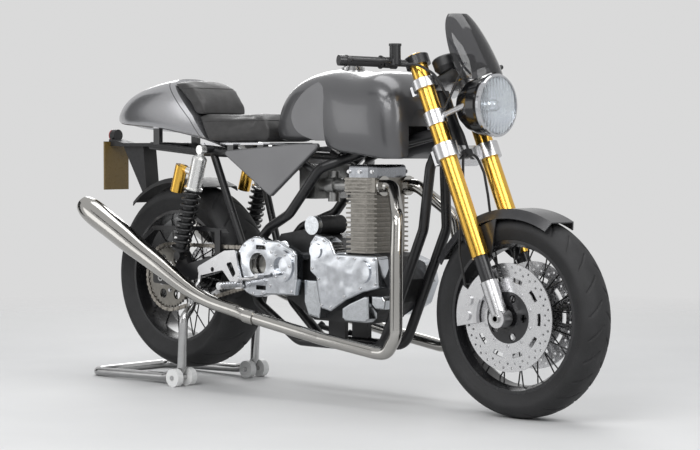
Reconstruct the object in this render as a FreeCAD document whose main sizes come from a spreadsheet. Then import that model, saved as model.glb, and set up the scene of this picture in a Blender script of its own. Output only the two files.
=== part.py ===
import FreeCAD, Part
import Sketcher
import math
import os
import re

# Cafe racer motorcycle on a paddock stand, in millimetres.
# X points forwards, Y to the rider's left and Z up. The origin is the middle of the rear axle,
# and every height is measured from the rear axle's centre line.

SIZES = {
    # Wheels and the floor
    "wheelbase": 1419,
    "front_axle_drop": 58,
    "front_tyre_radius": 300,
    "front_tyre_width": 120,
    "rear_tyre_radius": 315,
    "rear_tyre_width": 178,
    "rim_radius": 226,
    "rim_depth": 21,
    "front_rim_width": 92,
    "rear_rim_width": 146,
    "rim_skin": 5,
    "hub_radius": 34,
    "hub_flange_radius": 48,
    "front_hub_width": 96,
    "rear_hub_width": 120,
    "spoke_radius": 2.2,
    "spoke_pairs": 18,
    "tyre_facets": 72,
    "axle_radius": 12.5,
    "axle_bore": 8,
    "bearing_clearance": 0.05,
    # Brakes
    "disc_radius": 160,
    "disc_inner_radius": 76,
    "disc_hole_radius": 3.6,
    "disc_thickness": 5,
    "disc_spacing": 62,
    "rear_disc_radius": 110,
    "rear_disc_inner_radius": 62,
    "rear_disc_spacing": 78,
    "caliper_gap": 15,
    "caliper_inner_width": 22,
    "caliper_outer_width": 28,
    # Final drive
    "sprocket_radius": 103,
    "sprocket_width": 8,
    "front_sprocket_radius": 43,
    "chain_line": 104,
    "chain_width": 17,
    "chain_height": 15,
    "chain_clearance": 1.2,
    "chain_pitch": 15.875,
    "chain_waist": 2.5,
    "seat_gap": 0.35,
    "front_sprocket_x": 463,
    "front_sprocket_z": 60,
    # Fork and steering
    "rake": 23,
    "yoke_offset": 35,
    "fork_spacing": 98,
    "fork_tube_radius": 27,
    "fork_leg_radius": 21.5,
    "fork_tube_bottom": 192,
    "axle_clamp_top": 114,
    "fork_tube_top": 838,
    "lower_yoke_height": 502,
    "lower_yoke_depth": 46,
    "upper_yoke_height": 728,
    "upper_yoke_depth": 30,
    "yoke_wall": 11,
    "stem_radius": 17,
    "head_tube_radius": 32,
    "mudguard_gap": 14,
    "mudguard_skin": 4,
    "hose_radius": 4,
    "screen_skin": 4,
    # Lamp and screen
    "lamp_radius": 94,
    "lens_radius": 86,
    "lens_crown": 9,
    "lamp_front_x": 1332,
    "lamp_height": 563,
    "lamp_depth": 128,
    # Handlebars
    "bar_radius": 11,
    "grip_radius": 17,
    "grip_length": 118,
    "bar_end_x": 1004,
    "bar_end_y": 330,
    "bar_height": 695,
    # Frame
    "tube_radius": 16,
    "cradle_half_width": 55,
    "cradle_bottom": 184,
    "upright_half_width": 108,
    "pivot_x": 345,
    "pivot_z": 76,
    "pivot_tube_radius": 23,
    "pivot_half_width": 78,
    "rail_half_width": 104,
    "rail_height": 424,
    # Swingarm and shocks
    "arm_inner": 118,
    "arm_width": 28,
    "arm_height": 56,
    "shock_top_x": 212,
    "shock_top_z": 432,
    "shock_foot_x": 100,
    "shock_foot_z": 78,
    "spring_radius": 27,
    "spring_wire_radius": 5,
    "spring_turns": 9,
    "spring_seat": 30,
    "spring_share": 0.62,
    "reservoir_radius": 21,
    "shock_eye_radius": 15,
    "shock_eye_width": 22,
    "spindle_radius": 10,
    # Engine
    "case_half_width": 75,
    "case_rear_x": 650,
    "case_floor": 110,
    "deck_height": 110,
    "barrel_rear_x": 797,
    "barrel_length": 118,
    "barrel_half_width": 100,
    "barrel_height": 190,
    "fin_count": 13,
    "fin_thickness": 5,
    "fin_reach": 13,
    "fin_corner": 26,
    "head_height": 45,
    "rocker_height": 41,
    "cover_thickness": 52,
    "primary_thickness": 55,
    "gearbox_cover_thickness": 30,
    "gearbox_opening_radius": 38,
    "starter_radius": 30,
    # Exhaust
    "pipe_radius": 20,
    # Bodywork
    "tank_half_width": 142,
    "tank_top": 686,
    "tank_floor": 418,
    "tank_rear_x": 486,
    "tank_front_x": 1048,
    "tail_height": 674,
    "tail_half_width": 116,
    "side_cover_y": 126,
    "side_cover_thickness": 14,
    # Stands
    "stand_hinge_gap": 14,
    "floor_depth": 358,
    "stand_tube_radius": 15,
    "stand_half_width": 170,
    "stand_pad_half_width": 132,
    "stand_wheel_radius": 30,
}

doc = FreeCAD.newDocument("CafeRacer")
sheet = doc.addObject("Spreadsheet::Sheet", "Sheet")
for row, (word, number) in enumerate(SIZES.items(), start=1):
    sheet.set(f"A{row}", word)
    sheet.set(f"B{row}", str(number))
    sheet.setAlias(f"B{row}", word)
doc.recompute()

PIECES = {}


def formula(text):
    """The formula with each size's name pointing at its cell in the sheet."""
    return re.sub(r"[a-z_]{3,}", lambda found: link(found.group()), str(text))


def link(word):
    return f"Sheet.{word}" if word in SIZES else word


def amount(text):
    """What a formula comes to now."""
    return float(sheet.Document.Sheet.evalExpression(formula(text))) if text != 0 else 0.0


def place(thing, x=0, y=0, z=0, axis=(0, 0, 1), turn=0):
    """Puts a thing at x, y, z, turned about an axis, all as formulas."""
    thing.Placement = FreeCAD.Placement(
        FreeCAD.Vector(amount(x), amount(y), amount(z)),
        FreeCAD.Rotation(FreeCAD.Vector(*axis), amount(turn)),
    )
    for name, text in (("x", x), ("y", y), ("z", z)):
        thing.setExpression(f"Placement.Base.{name}", formula(text))
    if turn != 0:
        thing.setExpression("Placement.Rotation.Angle", formula(turn))
    return thing


def on_fork(thing):
    """Stands a piece that is drawn upright on the front axle into the fork's own slope."""
    return place(thing, x="wheelbase", z="-front_axle_drop", axis=(0, -1, 0), turn="rake")


def on_front_axle(thing):
    return place(thing, x="wheelbase", z="-front_axle_drop")


def keep(thing, label):
    """Names a finished sub-part."""
    thing.Label = label
    PIECES[label] = thing
    return thing


def vector(*parts):
    return FreeCAD.Vector(*[amount(part) for part in parts])


def fork_point(ahead, side, up):
    """A point given in the fork's own frame, in the motorcycle's frame."""
    slope = FreeCAD.Rotation(FreeCAD.Vector(0, -1, 0), amount("rake"))
    axle = vector("wheelbase", 0, "-front_axle_drop")
    return axle + slope.multVec(vector(ahead, side, up))


# Sketched features


def new_body(name):
    return doc.addObject("PartDesign::Body", name)


def new_sketch(body, role, shift=0):
    """A sketch on one of the body's own origin planes, moved out along its normal."""
    made = body.newObject("Sketcher::SketchObject", f"{body.Name}_sketch")
    plane = [item for item in body.Origin.OriginFeatures if item.Role == role][0]
    made.AttachmentSupport = [(plane, "")]
    made.MapMode = "FlatFace"
    made.AttachmentOffset = FreeCAD.Placement(FreeCAD.Vector(0, 0, amount(shift)), FreeCAD.Rotation())
    made.setExpression("AttachmentOffset.Base.z", formula(shift))
    return made


def outline(sketch, corners):
    """A closed outline of straight lines through corners, each a pair of formulas."""
    points = [vector(across, up, 0) for across, up in corners]
    first = sketch.GeometryCount
    count = len(points)
    for index, point in enumerate(points):
        sketch.addGeometry(Part.LineSegment(point, points[(index + 1) % count]))
    for index, (across, up) in enumerate(corners):
        line = first + index
        sketch.addConstraint(Sketcher.Constraint("Coincident", line, 2, first + (index + 1) % count, 1))
        fix(sketch, "DistanceX", line, points[index].x, across)
        fix(sketch, "DistanceY", line, points[index].y, up)


def fix(sketch, kind, line, now, text):
    number = sketch.addConstraint(Sketcher.Constraint(kind, -1, 1, line, 1, now))
    sketch.setExpression(f"Constraints[{number}]", formula(text))


def ring(sketch, across, up, radius):
    """A circle whose centre and radius follow formulas."""
    centre = vector(across, up, 0)
    made = sketch.addGeometry(Part.Circle(centre, FreeCAD.Vector(0, 0, 1), amount(radius)))
    for kind, now, text in (("DistanceX", centre.x, across), ("DistanceY", centre.y, up)):
        number = sketch.addConstraint(Sketcher.Constraint(kind, -1, 1, made, 3, now))
        sketch.setExpression(f"Constraints[{number}]", formula(text))
    number = sketch.addConstraint(Sketcher.Constraint("Radius", made, amount(radius)))
    sketch.setExpression(f"Constraints[{number}]", formula(radius))


def pad(body, sketch, length, both_ways=False, kind="Pad", backwards=False):
    made = body.newObject(f"PartDesign::{kind}", f"{body.Name}_{kind.lower()}")
    made.Profile = sketch
    made.Length = amount(length)
    made.setExpression("Length", formula(length))
    made.Midplane = both_ways
    made.Reversed = backwards
    return made


def revolve(body, sketch, kind="Revolution"):
    """Turns a sketch once round the sketch's own horizontal axis."""
    made = body.newObject(f"PartDesign::{kind}", f"{body.Name}_{kind.lower()}")
    made.Profile = sketch
    made.ReferenceAxis = (sketch, ["H_Axis"])
    made.Angle = 360
    return made


def smooth(body, radius, chosen):
    """Rounds those edges of a body's last feature that a test picks out."""
    doc.recompute()
    last = body.Tip
    names = [f"Edge{index}" for index, edge in enumerate(last.Shape.Edges, start=1) if chosen(edge)]
    made = body.newObject("PartDesign::Fillet", f"{body.Name}_fillet")
    made.Base = (last, names)
    made.Radius = amount(radius)
    made.setExpression("Radius", formula(radius))
    return made


def runs_across(edge):
    """True for a straight edge along Y."""
    return edge.Curve.TypeId == "Part::GeomLine" and abs(edge.Curve.Direction.y) > 0.999


def lies_at(axis, place):
    """A test for edges that lie in the plane at one place along an axis."""
    def chosen(edge):
        first, last = edge.FirstParameter, edge.LastParameter
        points = [edge.valueAt(first), edge.valueAt((first + last) / 2), edge.valueAt(last)]
        return all(abs(getattr(point, axis) - place) < 0.01 for point in points)
    return chosen


def wheel_turned(name, corners):
    """A body turned about the wheel's axle, from corners of width and radius."""
    body = new_body(name)
    sketch = new_sketch(body, "YZ_Plane")
    outline(sketch, corners)
    revolve(body, sketch)
    return body


def side_plate(name, corners, inner, thickness):
    """A plate with a side-view outline, from one distance off the centre plane outwards."""
    body = new_body(name)
    sketch = new_sketch(body, "XZ_Plane", inner)
    outline(sketch, corners)
    pad(body, sketch, thickness)
    return body


def rounded_plate(name, corners, inner, thickness, corner, rim, left=False):
    """A side plate with round corners and a round outer rim."""
    body = side_plate(name, corners, inner, thickness)
    smooth(body, corner, runs_across)
    outer = amount(f"-({inner})") if left else amount(f"-({inner}) - ({thickness})")
    smooth(body, rim, lies_at("y", outer))
    return body


def boss(body, across, up, radius, start, thickness, kind="Pad"):
    """Adds a round boss to a side plate, or cuts a round recess in it, from one distance outwards."""
    sketch = new_sketch(body, "XZ_Plane", start)
    ring(sketch, across, up, radius)
    return pad(body, sketch, thickness, kind=kind)


def plan(sketch, overhang, inset, corner):
    """The plan of a finned casting, its edge drawn in from the fins' tips and its corners cut."""
    rear = f"barrel_rear_x - {overhang} + {inset}"
    front = f"barrel_rear_x + barrel_length + {overhang} - {inset}"
    half = f"barrel_half_width - {inset}"
    outline(sketch, [
        (f"{rear} + {corner} / 2", f"-({half})"), (f"{front} - {corner}", f"-({half})"),
        (front, f"-({half}) + {corner}"), (front, f"{half} - {corner}"),
        (f"{front} - {corner}", half), (f"{rear} + {corner} / 2", half),
        (rear, f"{half} - {corner} / 2"), (rear, f"-({half}) + {corner} / 2"),
    ])


def finned(name, base, height, overhang, count):
    """A cylinder casting: a core with a stack of thin fins round it."""
    body = new_body(name)
    core = new_sketch(body, "XY_Plane", base)
    plan(core, overhang, "fin_reach", "fin_corner * 0.6")
    pad(body, core, height)
    fin = new_sketch(body, "XY_Plane", f"{base} + fin_thickness / 2")
    plan(fin, overhang, 0, "fin_corner")
    first = pad(body, fin, "fin_thickness")
    stack(body, first, f"{height} - 2 * fin_thickness", count)
    return body


def stack(body, feature, run, count):
    """Repeats one feature up the Z axis over a run."""
    made = body.newObject("PartDesign::LinearPattern", f"{body.Name}_stack")
    made.Originals = [feature]
    axis = [item for item in body.Origin.OriginFeatures if item.Role == "Z_Axis"][0]
    made.Direction = (axis, [""])
    made.Length = amount(run)
    made.setExpression("Length", formula(run))
    made.Occurrences = int(amount(count))
    made.setExpression("Occurrences", formula(count))
    body.Tip = made
    return made


# Solids of code, for what no sketched feature fits


def shape_piece(name, shape):
    made = doc.addObject("Part::Feature", name)
    made.Shape = shape
    return made


def rod(start, end, radius):
    """A straight round bar."""
    run = end - start
    return Part.makeCylinder(radius, run.Length, start, run)


def bent_wire(points, bend):
    """Straight runs with a tangent arc of one radius at each inner point."""
    edges = []
    start = points[0]
    for before, corner, after in zip(points, points[1:], points[2:]):
        back = (before - corner).normalize()
        ahead = (after - corner).normalize()
        half_angle = back.getAngle(ahead) / 2
        if half_angle > math.radians(89.5):
            continue
        room = 0.48 * min((before - corner).Length, (after - corner).Length)
        reach = min(bend / math.tan(half_angle), room)
        radius = reach * math.tan(half_angle)
        middle = (back + ahead).normalize()
        centre = corner + middle * (radius / math.sin(half_angle))
        entry = corner + back * reach
        leave = corner + ahead * reach
        edges.append(Part.LineSegment(start, entry).toShape())
        edges.append(Part.Arc(entry, centre - middle * radius, leave).toShape())
        start = leave
    edges.append(Part.LineSegment(start, points[-1]).toShape())
    return Part.Wire(edges)


def rounded_wire(points, bend):
    """A closed outline with a tangent arc at each corner."""
    edges = []
    count = len(points)
    leaves = []
    arcs = []
    for index, corner in enumerate(points):
        before = points[index - 1]
        after = points[(index + 1) % count]
        back = (before - corner).normalize()
        ahead = (after - corner).normalize()
        half_angle = back.getAngle(ahead) / 2
        room = 0.48 * min((before - corner).Length, (after - corner).Length)
        reach = min(bend / math.tan(half_angle), room)
        radius = reach * math.tan(half_angle)
        middle = (back + ahead).normalize()
        centre = corner + middle * (radius / math.sin(half_angle))
        arcs.append(Part.Arc(corner + back * reach, centre - middle * radius, corner + ahead * reach))
        leaves.append((corner + back * reach, corner + ahead * reach))
    for index in range(count):
        edges.append(arcs[index].toShape())
        edges.append(Part.LineSegment(leaves[index][1], leaves[(index + 1) % count][0]).toShape())
    return Part.Wire(edges)


def tube(points, radius, bend):
    """A round bar along straight runs and tangent arcs."""
    path = bent_wire(points, bend)
    first = path.OrderedEdges[0]
    heading = first.tangentAt(first.FirstParameter)
    profile = Part.Wire([Part.makeCircle(radius, points[0], heading)])
    return path.makePipeShell([profile], True, False)


def joined(shapes):
    """One solid of several that meet or cross, with its split faces made whole."""
    made = shapes[0]
    for shape in shapes[1:]:
        made = made.fuse(shape)
    smooth = made.copy().removeSplitter()
    same = smooth.isValid() and abs(smooth.Volume - made.Volume) < 0.001 * made.Volume
    return smooth if same else made


def largest(shape):
    """The biggest solid that a cut leaves."""
    return max(shape.Solids, key=lambda item: item.Volume)


def block(one, other):
    """A box between two opposite corners."""
    low = FreeCAD.Vector(min(one.x, other.x), min(one.y, other.y), min(one.z, other.z))
    high = FreeCAD.Vector(max(one.x, other.x), max(one.y, other.y), max(one.z, other.z))
    size = high - low
    return Part.makeBox(size.x, size.y, size.z, low)


# Wheels


def tyre(name, radius, width, rim_width):
    """A tyre of flat facets round the axle, rounded across its tread."""
    steps = int(amount("tyre_facets"))
    wall = amount("rim_radius + bearing_clearance") / math.cos(math.pi / steps)
    deep = amount(radius) - wall
    half = amount(width) / 2
    seat = amount(rim_width) / 2
    right = [(seat, wall), (half * 0.93, wall + deep * 0.30), (half, wall + deep * 0.52),
             (half * 0.84, wall + deep * 0.76), (half * 0.52, wall + deep * 0.94),
             (half * 0.17, wall + deep)]
    corners = [(-across, up) for across, up in right] + right[::-1]
    rings = [[polar(up, 360 / steps * step, across) for across, up in corners] for step in range(steps)]
    faces = []
    for index, ring_points in enumerate(rings):
        following = rings[(index + 1) % steps]
        for corner in range(len(corners)):
            nearby = (corner + 1) % len(corners)
            faces.append(Part.Face(Part.makePolygon([
                ring_points[corner], ring_points[nearby], following[nearby], following[corner],
                ring_points[corner]])))
    solid = Part.makeSolid(Part.makeShell(faces))
    if solid.Volume < 0:
        solid.reverse()
    return shape_piece(name, Part.makeCompound([solid]))


def wheel(name, rim_width, hub_width, carriers):
    """A rim, a hub and laced spokes, with the carriers that hold the discs and sprocket."""
    half = amount(rim_width) / 2
    rim = amount("rim_radius")
    well = rim - amount("rim_depth")
    skin = amount("rim_skin")
    hub_half = amount(hub_width) / 2
    profile = [
        (-half, rim), (half, rim), (half, rim - 2 * skin), (half * 0.45, well),
        (-half * 0.45, well), (-half, rim - 2 * skin),
    ]
    solids = [turned(profile)]
    bore = amount("axle_radius + bearing_clearance")
    barrel = amount("hub_radius")
    flange = amount("hub_flange_radius")
    lip = 7
    solids.append(turned([
        (-hub_half, bore), (hub_half, bore), (hub_half, flange), (hub_half - lip, flange),
        (hub_half - 2 * lip, barrel), (2 * lip - hub_half, barrel), (lip - hub_half, flange),
        (-hub_half, flange),
    ]))
    pairs = int(amount("spoke_pairs"))
    thick = amount("spoke_radius")
    for index in range(pairs):
        for side in (-1, 1):
            angle = 360 / pairs * (index + 0.25 * side)
            lean = 20 * (1 if index % 2 else -1)
            root = polar(flange - 5, angle - lean, side * (hub_half - lip / 2))
            nipple = polar(well + 2, angle, side * half * 0.25)
            solids.append(rod(root, nipple, thick))
    solids += carriers
    return shape_piece(name, joined(solids))


def polar(radius, angle, side):
    turn = math.radians(angle)
    return FreeCAD.Vector(radius * math.cos(turn), side, radius * math.sin(turn))


def turned(corners):
    """A solid turned about Y from corners of width and radius, with their numbers known."""
    points = [FreeCAD.Vector(0, across, radius) for across, radius in corners]
    face = Part.Face(Part.makePolygon(points + points[:1]))
    return face.revolve(FreeCAD.Vector(0, 0, 0), FreeCAD.Vector(0, 1, 0), 360)


def sector(corners, start, end):
    """Part of a turned solid between two angles about the axle."""
    reach = 3 * max(radius for _, radius in corners)
    edge = [FreeCAD.Vector(0, -300, 0), polar(reach, start, -300), polar(reach, (start + end) / 2, -300),
            polar(reach, end, -300)]
    wedge = Part.Face(Part.makePolygon(edge + edge[:1])).extrude(FreeCAD.Vector(0, 600, 0))
    return turned(corners).common(wedge)


def disc_carriers():
    """The dark spiders between the hub and the two front discs."""
    made = []
    inner = amount("hub_radius")
    outer = amount("disc_inner_radius")
    half = amount("disc_thickness / 2 + 1")
    for side in (-1, 1):
        middle = side * amount("disc_spacing")
        spider = turned([
            (middle - half, inner), (middle + half, inner),
            (middle + half, outer), (middle - half, outer),
        ])
        for index in range(5):
            hole = polar((inner + outer) / 2 + 3, 72 * index, 0)
            window = Part.makeCylinder(12, 4 * half, hole + FreeCAD.Vector(0, middle - 2 * half, 0),
                                       FreeCAD.Vector(0, 1, 0))
            spider = spider.cut(window)
        neck = turned([
            (min(middle, side * 40), amount("axle_radius + bearing_clearance")),
            (max(middle, side * 40), amount("axle_radius + bearing_clearance")),
            (max(middle, side * 40), inner + 6), (min(middle, side * 40), inner + 6),
        ])
        made += [spider, neck]
    return made


def rear_carriers():
    """The seats on the rear hub for the disc on the left and the sprocket on the right."""
    bore = amount("axle_radius + bearing_clearance")
    disc_seat = amount("rear_disc_spacing")
    disc_inner = amount("rear_disc_inner_radius")
    plate = amount("disc_thickness / 2 + 1")
    chain_line = amount("chain_line")
    return [
        turned([(40, bore), (disc_seat + plate, bore), (disc_seat + plate, disc_inner),
                (disc_seat - plate, disc_inner), (disc_seat - plate, 42), (40, 42)]),
        turned([(-chain_line + 4, bore), (-40, bore), (-40, 55), (-chain_line + 4, 55)]),
    ]


def brake_disc(name, outer, inner, sides, slots):
    """Discs with a ring of slots inside two rows of drilled holes."""
    shapes = []
    half = amount("disc_thickness / 2")
    outside = amount(outer)
    inside = amount(inner)
    band = outside - inside
    hole_radius = amount("disc_hole_radius")
    for middle in sides:
        made = turned([(middle - half, inside), (middle + half, inside),
                       (middle + half, outside), (middle - half, outside)])
        cutters = []
        low = inside + band * 0.36
        high = inside + band * 0.52
        for index in range(slots):
            angle = 360 / slots * index
            cutters.append(sector([(middle - 2 * half, low), (middle + 2 * half, low),
                                   (middle + 2 * half, high), (middle - 2 * half, high)],
                                  angle - 90 / slots, angle + 90 / slots))
        count = 3 * slots
        for index in range(2 * count):
            radius = inside + band * (0.70 if index % 2 else 0.86)
            hole = polar(radius, 360 / (2 * count) * index, middle - 2 * half)
            cutters.append(Part.makeCylinder(hole_radius, 4 * half, hole, FreeCAD.Vector(0, 1, 0)))
        shapes.append(made.cut(Part.makeCompound(cutters)))
    return shape_piece(name, Part.makeCompound(shapes))


def toothed(middle, width, radius, depth, teeth, inner):
    """A toothed ring about the axle."""
    points = []
    share = 360 / teeth
    near = middle - width / 2
    for index in range(teeth):
        angle = share * index
        points += [polar(radius - depth, angle, near), polar(radius, angle + share * 0.35, near),
                   polar(radius, angle + share * 0.65, near)]
    solid = Part.Face(Part.makePolygon(points + points[:1])).extrude(FreeCAD.Vector(0, width, 0))
    core = Part.makeCylinder(inner, 2 * width, FreeCAD.Vector(0, middle - width, 0),
                             FreeCAD.Vector(0, 1, 0))
    return solid.cut(core)


def sprocket():
    """The rear sprocket with lightening holes."""
    middle = -amount("chain_line")
    radius = amount("sprocket_radius")
    width = amount("sprocket_width")
    ring_solid = toothed(middle, width, radius, 7, 43, amount("axle_radius + bearing_clearance + 6"))
    cutters = []
    for index in range(6):
        hole = polar(radius * 0.66, 60 * index, middle - width)
        cutters.append(Part.makeCylinder(radius * 0.16, 2 * width, hole, FreeCAD.Vector(0, 1, 0)))
    return shape_piece("rear_sprocket", ring_solid.cut(Part.makeCompound(cutters)))


def make_wheels():
    front_tyre = tyre("front_tyre", "front_tyre_radius", "front_tyre_width", "front_rim_width")
    keep(on_front_axle(front_tyre), "front_tyre")
    front = wheel("front_wheel", "front_rim_width", "front_hub_width", disc_carriers())
    keep(on_front_axle(front), "front_wheel")
    spacing = amount("disc_spacing")
    discs = brake_disc("front_discs", "disc_radius", "disc_inner_radius", (-spacing, spacing), 10)
    keep(on_front_axle(discs), "front_discs")
    keep(tyre("rear_tyre", "rear_tyre_radius", "rear_tyre_width", "rear_rim_width"), "rear_tyre")
    keep(wheel("rear_wheel", "rear_rim_width", "rear_hub_width", rear_carriers()), "rear_wheel")
    rear_side = (amount("rear_disc_spacing"),)
    keep(brake_disc("rear_disc", "rear_disc_radius", "rear_disc_inner_radius", rear_side, 8), "rear_disc")
    keep(sprocket(), "rear_sprocket")


def hollow_axle(name, half_width):
    """A hollow axle with a flange-free shank, lying along Y."""
    return wheel_turned(name, [
        (f"-({half_width})", "axle_bore"), (half_width, "axle_bore"),
        (half_width, "axle_radius"), (f"-({half_width})", "axle_radius"),
    ])


# Fork and steering, drawn upright on the front axle


def fork_leg(side):
    """The lower leg that slides in the tube."""
    spacing = side * amount("fork_spacing")
    bottom = amount("axle_clamp_top")
    return Part.makeCylinder(amount("fork_leg_radius"), amount("fork_tube_bottom") - bottom,
                             FreeCAD.Vector(0, spacing, bottom), FreeCAD.Vector(0, 0, 1))


def axle_clamp(side):
    """The bright casting that holds the leg, the axle and the caliper's lugs."""
    spacing = side * amount("fork_spacing")
    leg = amount("fork_leg_radius")
    top = amount("axle_clamp_top")
    up = FreeCAD.Vector(0, 0, 1)
    inner = min(spacing - side * leg, spacing + side * leg)
    shapes = [
        Part.makeCylinder(leg + 4, top - 8, FreeCAD.Vector(0, spacing, 8), up),
        Part.makeCylinder(leg + 6, 2 * leg, FreeCAD.Vector(0, inner, 0), FreeCAD.Vector(0, 1, 0)),
    ]
    lug_inner = side * (amount("disc_spacing") + 10)
    lug_outer = side * (amount("disc_spacing") + amount("caliper_outer_width"))
    shapes.append(sector([(lug_inner, 92), (lug_outer, 92), (lug_outer, 150), (lug_inner, 150)], 88, 126))
    solid = joined(shapes)
    upper = block(FreeCAD.Vector(-60, spacing - 60, top), FreeCAD.Vector(60, spacing + 60, top + 200))
    leg_way = Part.makeCylinder(leg, 200, FreeCAD.Vector(0, spacing, top), up)
    solid = solid.cut(upper.common(leg_way))
    bore = Part.makeCylinder(amount("axle_radius"), 90, FreeCAD.Vector(0, spacing - 45, 0),
                             FreeCAD.Vector(0, 1, 0))
    return solid.cut(bore)


def fork_tube(side):
    """The gold upper tube that the yokes clamp."""
    spacing = side * amount("fork_spacing")
    bottom = amount("fork_tube_bottom")
    return Part.makeCylinder(amount("fork_tube_radius"), amount("fork_tube_top") - bottom,
                             FreeCAD.Vector(0, spacing, bottom), FreeCAD.Vector(0, 0, 1))


def yoke(name, height, depth, stem_bottom=None, stem_top=None):
    """A clamp across both fork tubes, with the steering stem where one is asked for."""
    base = amount(height)
    thick = amount(depth)
    spacing = amount("fork_spacing")
    reach = amount("fork_tube_radius + yoke_wall")
    offset = amount("yoke_offset")
    up = FreeCAD.Vector(0, 0, 1)
    shapes = [block(FreeCAD.Vector(-offset - 22, -spacing, base),
                    FreeCAD.Vector(-4, spacing, base + thick))]
    for side in (-1, 1):
        shapes.append(Part.makeCylinder(reach, thick, FreeCAD.Vector(0, side * spacing, base), up))
    if stem_top is not None:
        stem = Part.makeCylinder(amount("stem_radius"), stem_top - stem_bottom,
                                 FreeCAD.Vector(-offset, 0, stem_bottom), up)
        shapes.append(stem)
    solid = joined(shapes)
    for side in (-1, 1):
        seat = Part.makeCylinder(amount("fork_tube_radius"), thick + 2,
                                 FreeCAD.Vector(0, side * spacing, base - 1), up)
        solid = solid.cut(seat)
    return solid


def caliper(side):
    """A caliper behind the leg that reaches over the disc's edge, open where the disc runs."""
    middle = side * amount("disc_spacing")
    inner = middle - side * amount("caliper_inner_width")
    lip = middle + side * amount("caliper_outer_width")
    gap = amount("caliper_gap") / 2
    outer = amount("disc_radius")
    shell = sector([
        (inner, outer - 46), (middle, outer - 58), (lip - side * 6, outer - 58), (lip, outer - 50),
        (lip, outer + 12), (lip - side * 10, outer + 22), (inner + side * 8, outer + 22),
        (inner, outer + 14),
    ], 126, 168)
    slot = turned([(middle - gap, outer - 70), (middle + gap, outer - 70),
                   (middle + gap, outer + 6), (middle - gap, outer + 6)])
    solid = shell.cut(slot)
    for angle in (137, 157):
        centre = polar(outer - 26, angle, lip - side * 4)
        cap = Part.makeCylinder(15, 10, centre, FreeCAD.Vector(0, side, 0))
        solid = solid.fuse(cap)
    window = sector([(middle - 9, outer + 4), (middle + 9, outer + 4), (middle + 9, outer + 30),
                     (middle - 9, outer + 30)], 141, 153)
    return solid.cut(window)


def make_steering():
    lower = yoke("lower_yoke", "lower_yoke_height", "lower_yoke_depth",
                 amount("lower_yoke_height"), amount("upper_yoke_height"))
    keep(on_fork(shape_piece("lower_yoke", lower)), "lower_yoke")
    upper = yoke("upper_yoke", "upper_yoke_height", "upper_yoke_depth")
    keep(on_fork(shape_piece("upper_yoke", upper)), "upper_yoke")
    for name, maker in (("fork_tubes", fork_tube), ("fork_legs", fork_leg), ("axle_clamps", axle_clamp),
                        ("front_calipers", caliper)):
        pair = Part.makeCompound([maker(side) for side in (-1, 1)])
        keep(on_fork(shape_piece(name, pair)), name)
    keep(on_front_axle(hollow_axle("front_axle", "fork_spacing + fork_leg_radius + 6")), "front_axle")
    make_mudguard()
    make_headlamp()
    make_handlebars()
    make_hoses()


def make_hoses():
    """The front brake hoses, from the lever down between the yokes and the lamp to the calipers."""
    thick = amount("hose_radius")
    lever = amount("upper_yoke_height")
    low = amount("lower_yoke_height")
    front = -4
    junction = block(FreeCAD.Vector(front, -13, low + 8), FreeCAD.Vector(front + 13, 13, low + 30))
    shapes = [junction]
    main = [(front + 9, 0, low + 28), (front + 14, -6, low + 76), (front + 20, -28, low + 130),
            (44, -66, low + 178), (54, -108, lever + 26), (36, -150, lever + 66), (0, -176, lever + 78)]
    shapes.append(tube([FreeCAD.Vector(*point) for point in main], thick, 60))
    for side in (-1, 1):
        branch = [
            (front + 6, side * 11, low + 16), (front + 8, side * 34, low + 4),
            (front + 2, side * 50, low - 44), (-22, side * 60, low - 110), (-52, side * 74, 318),
            (-84, side * 82, 232), (-100, side * 84, 128),
        ]
        shapes.append(tube([FreeCAD.Vector(*point) for point in branch], thick, 60))
    hoses = joined(shapes)
    for side in (-1, 1):
        hoses = hoses.cut(caliper(side)).cut(axle_clamp(side))
    keep(on_fork(shape_piece("brake_hoses", hoses)), "brake_hoses")


def make_mudguard():
    """A curved guard over the front tyre with a stay to each leg."""
    inner = amount("front_tyre_radius + mudguard_gap")
    outer = inner + amount("mudguard_skin")
    half = amount("front_tyre_width / 2 + 6")
    solids = [sector([
        (-half, inner - 26), (-half + 16, inner), (half - 16, inner), (half, inner - 26),
        (half + 4, inner - 24), (half - 13, outer), (-half + 13, outer), (-half - 4, inner - 24),
    ], 62, 150)]
    rake = amount("rake")
    boss = polar(182, 90 + rake, 0)
    for side in (-1, 1):
        near = side * half
        plate = [polar(inner - 22, 98, near), polar(inner - 22, 128, near), polar(190, 118, near),
                 polar(176, 90 + rake, near), polar(190, 108, near)]
        face = Part.Face(Part.makePolygon(plate + plate[:1]))
        solids.append(face.extrude(FreeCAD.Vector(0, side * 4, 0)))
        lug = Part.makeCylinder(8, 30, FreeCAD.Vector(boss.x, min(near, near + side * 30), boss.z),
                                FreeCAD.Vector(0, 1, 0))
        spacing = side * amount("fork_spacing")
        leg = rod(polar(0, 0, spacing), polar(260, 90 + rake, spacing), amount("fork_leg_radius"))
        solids.append(lug.cut(leg))
    guard = joined(solids)
    keep(on_front_axle(shape_piece("front_mudguard", guard)), "front_mudguard")


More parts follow.
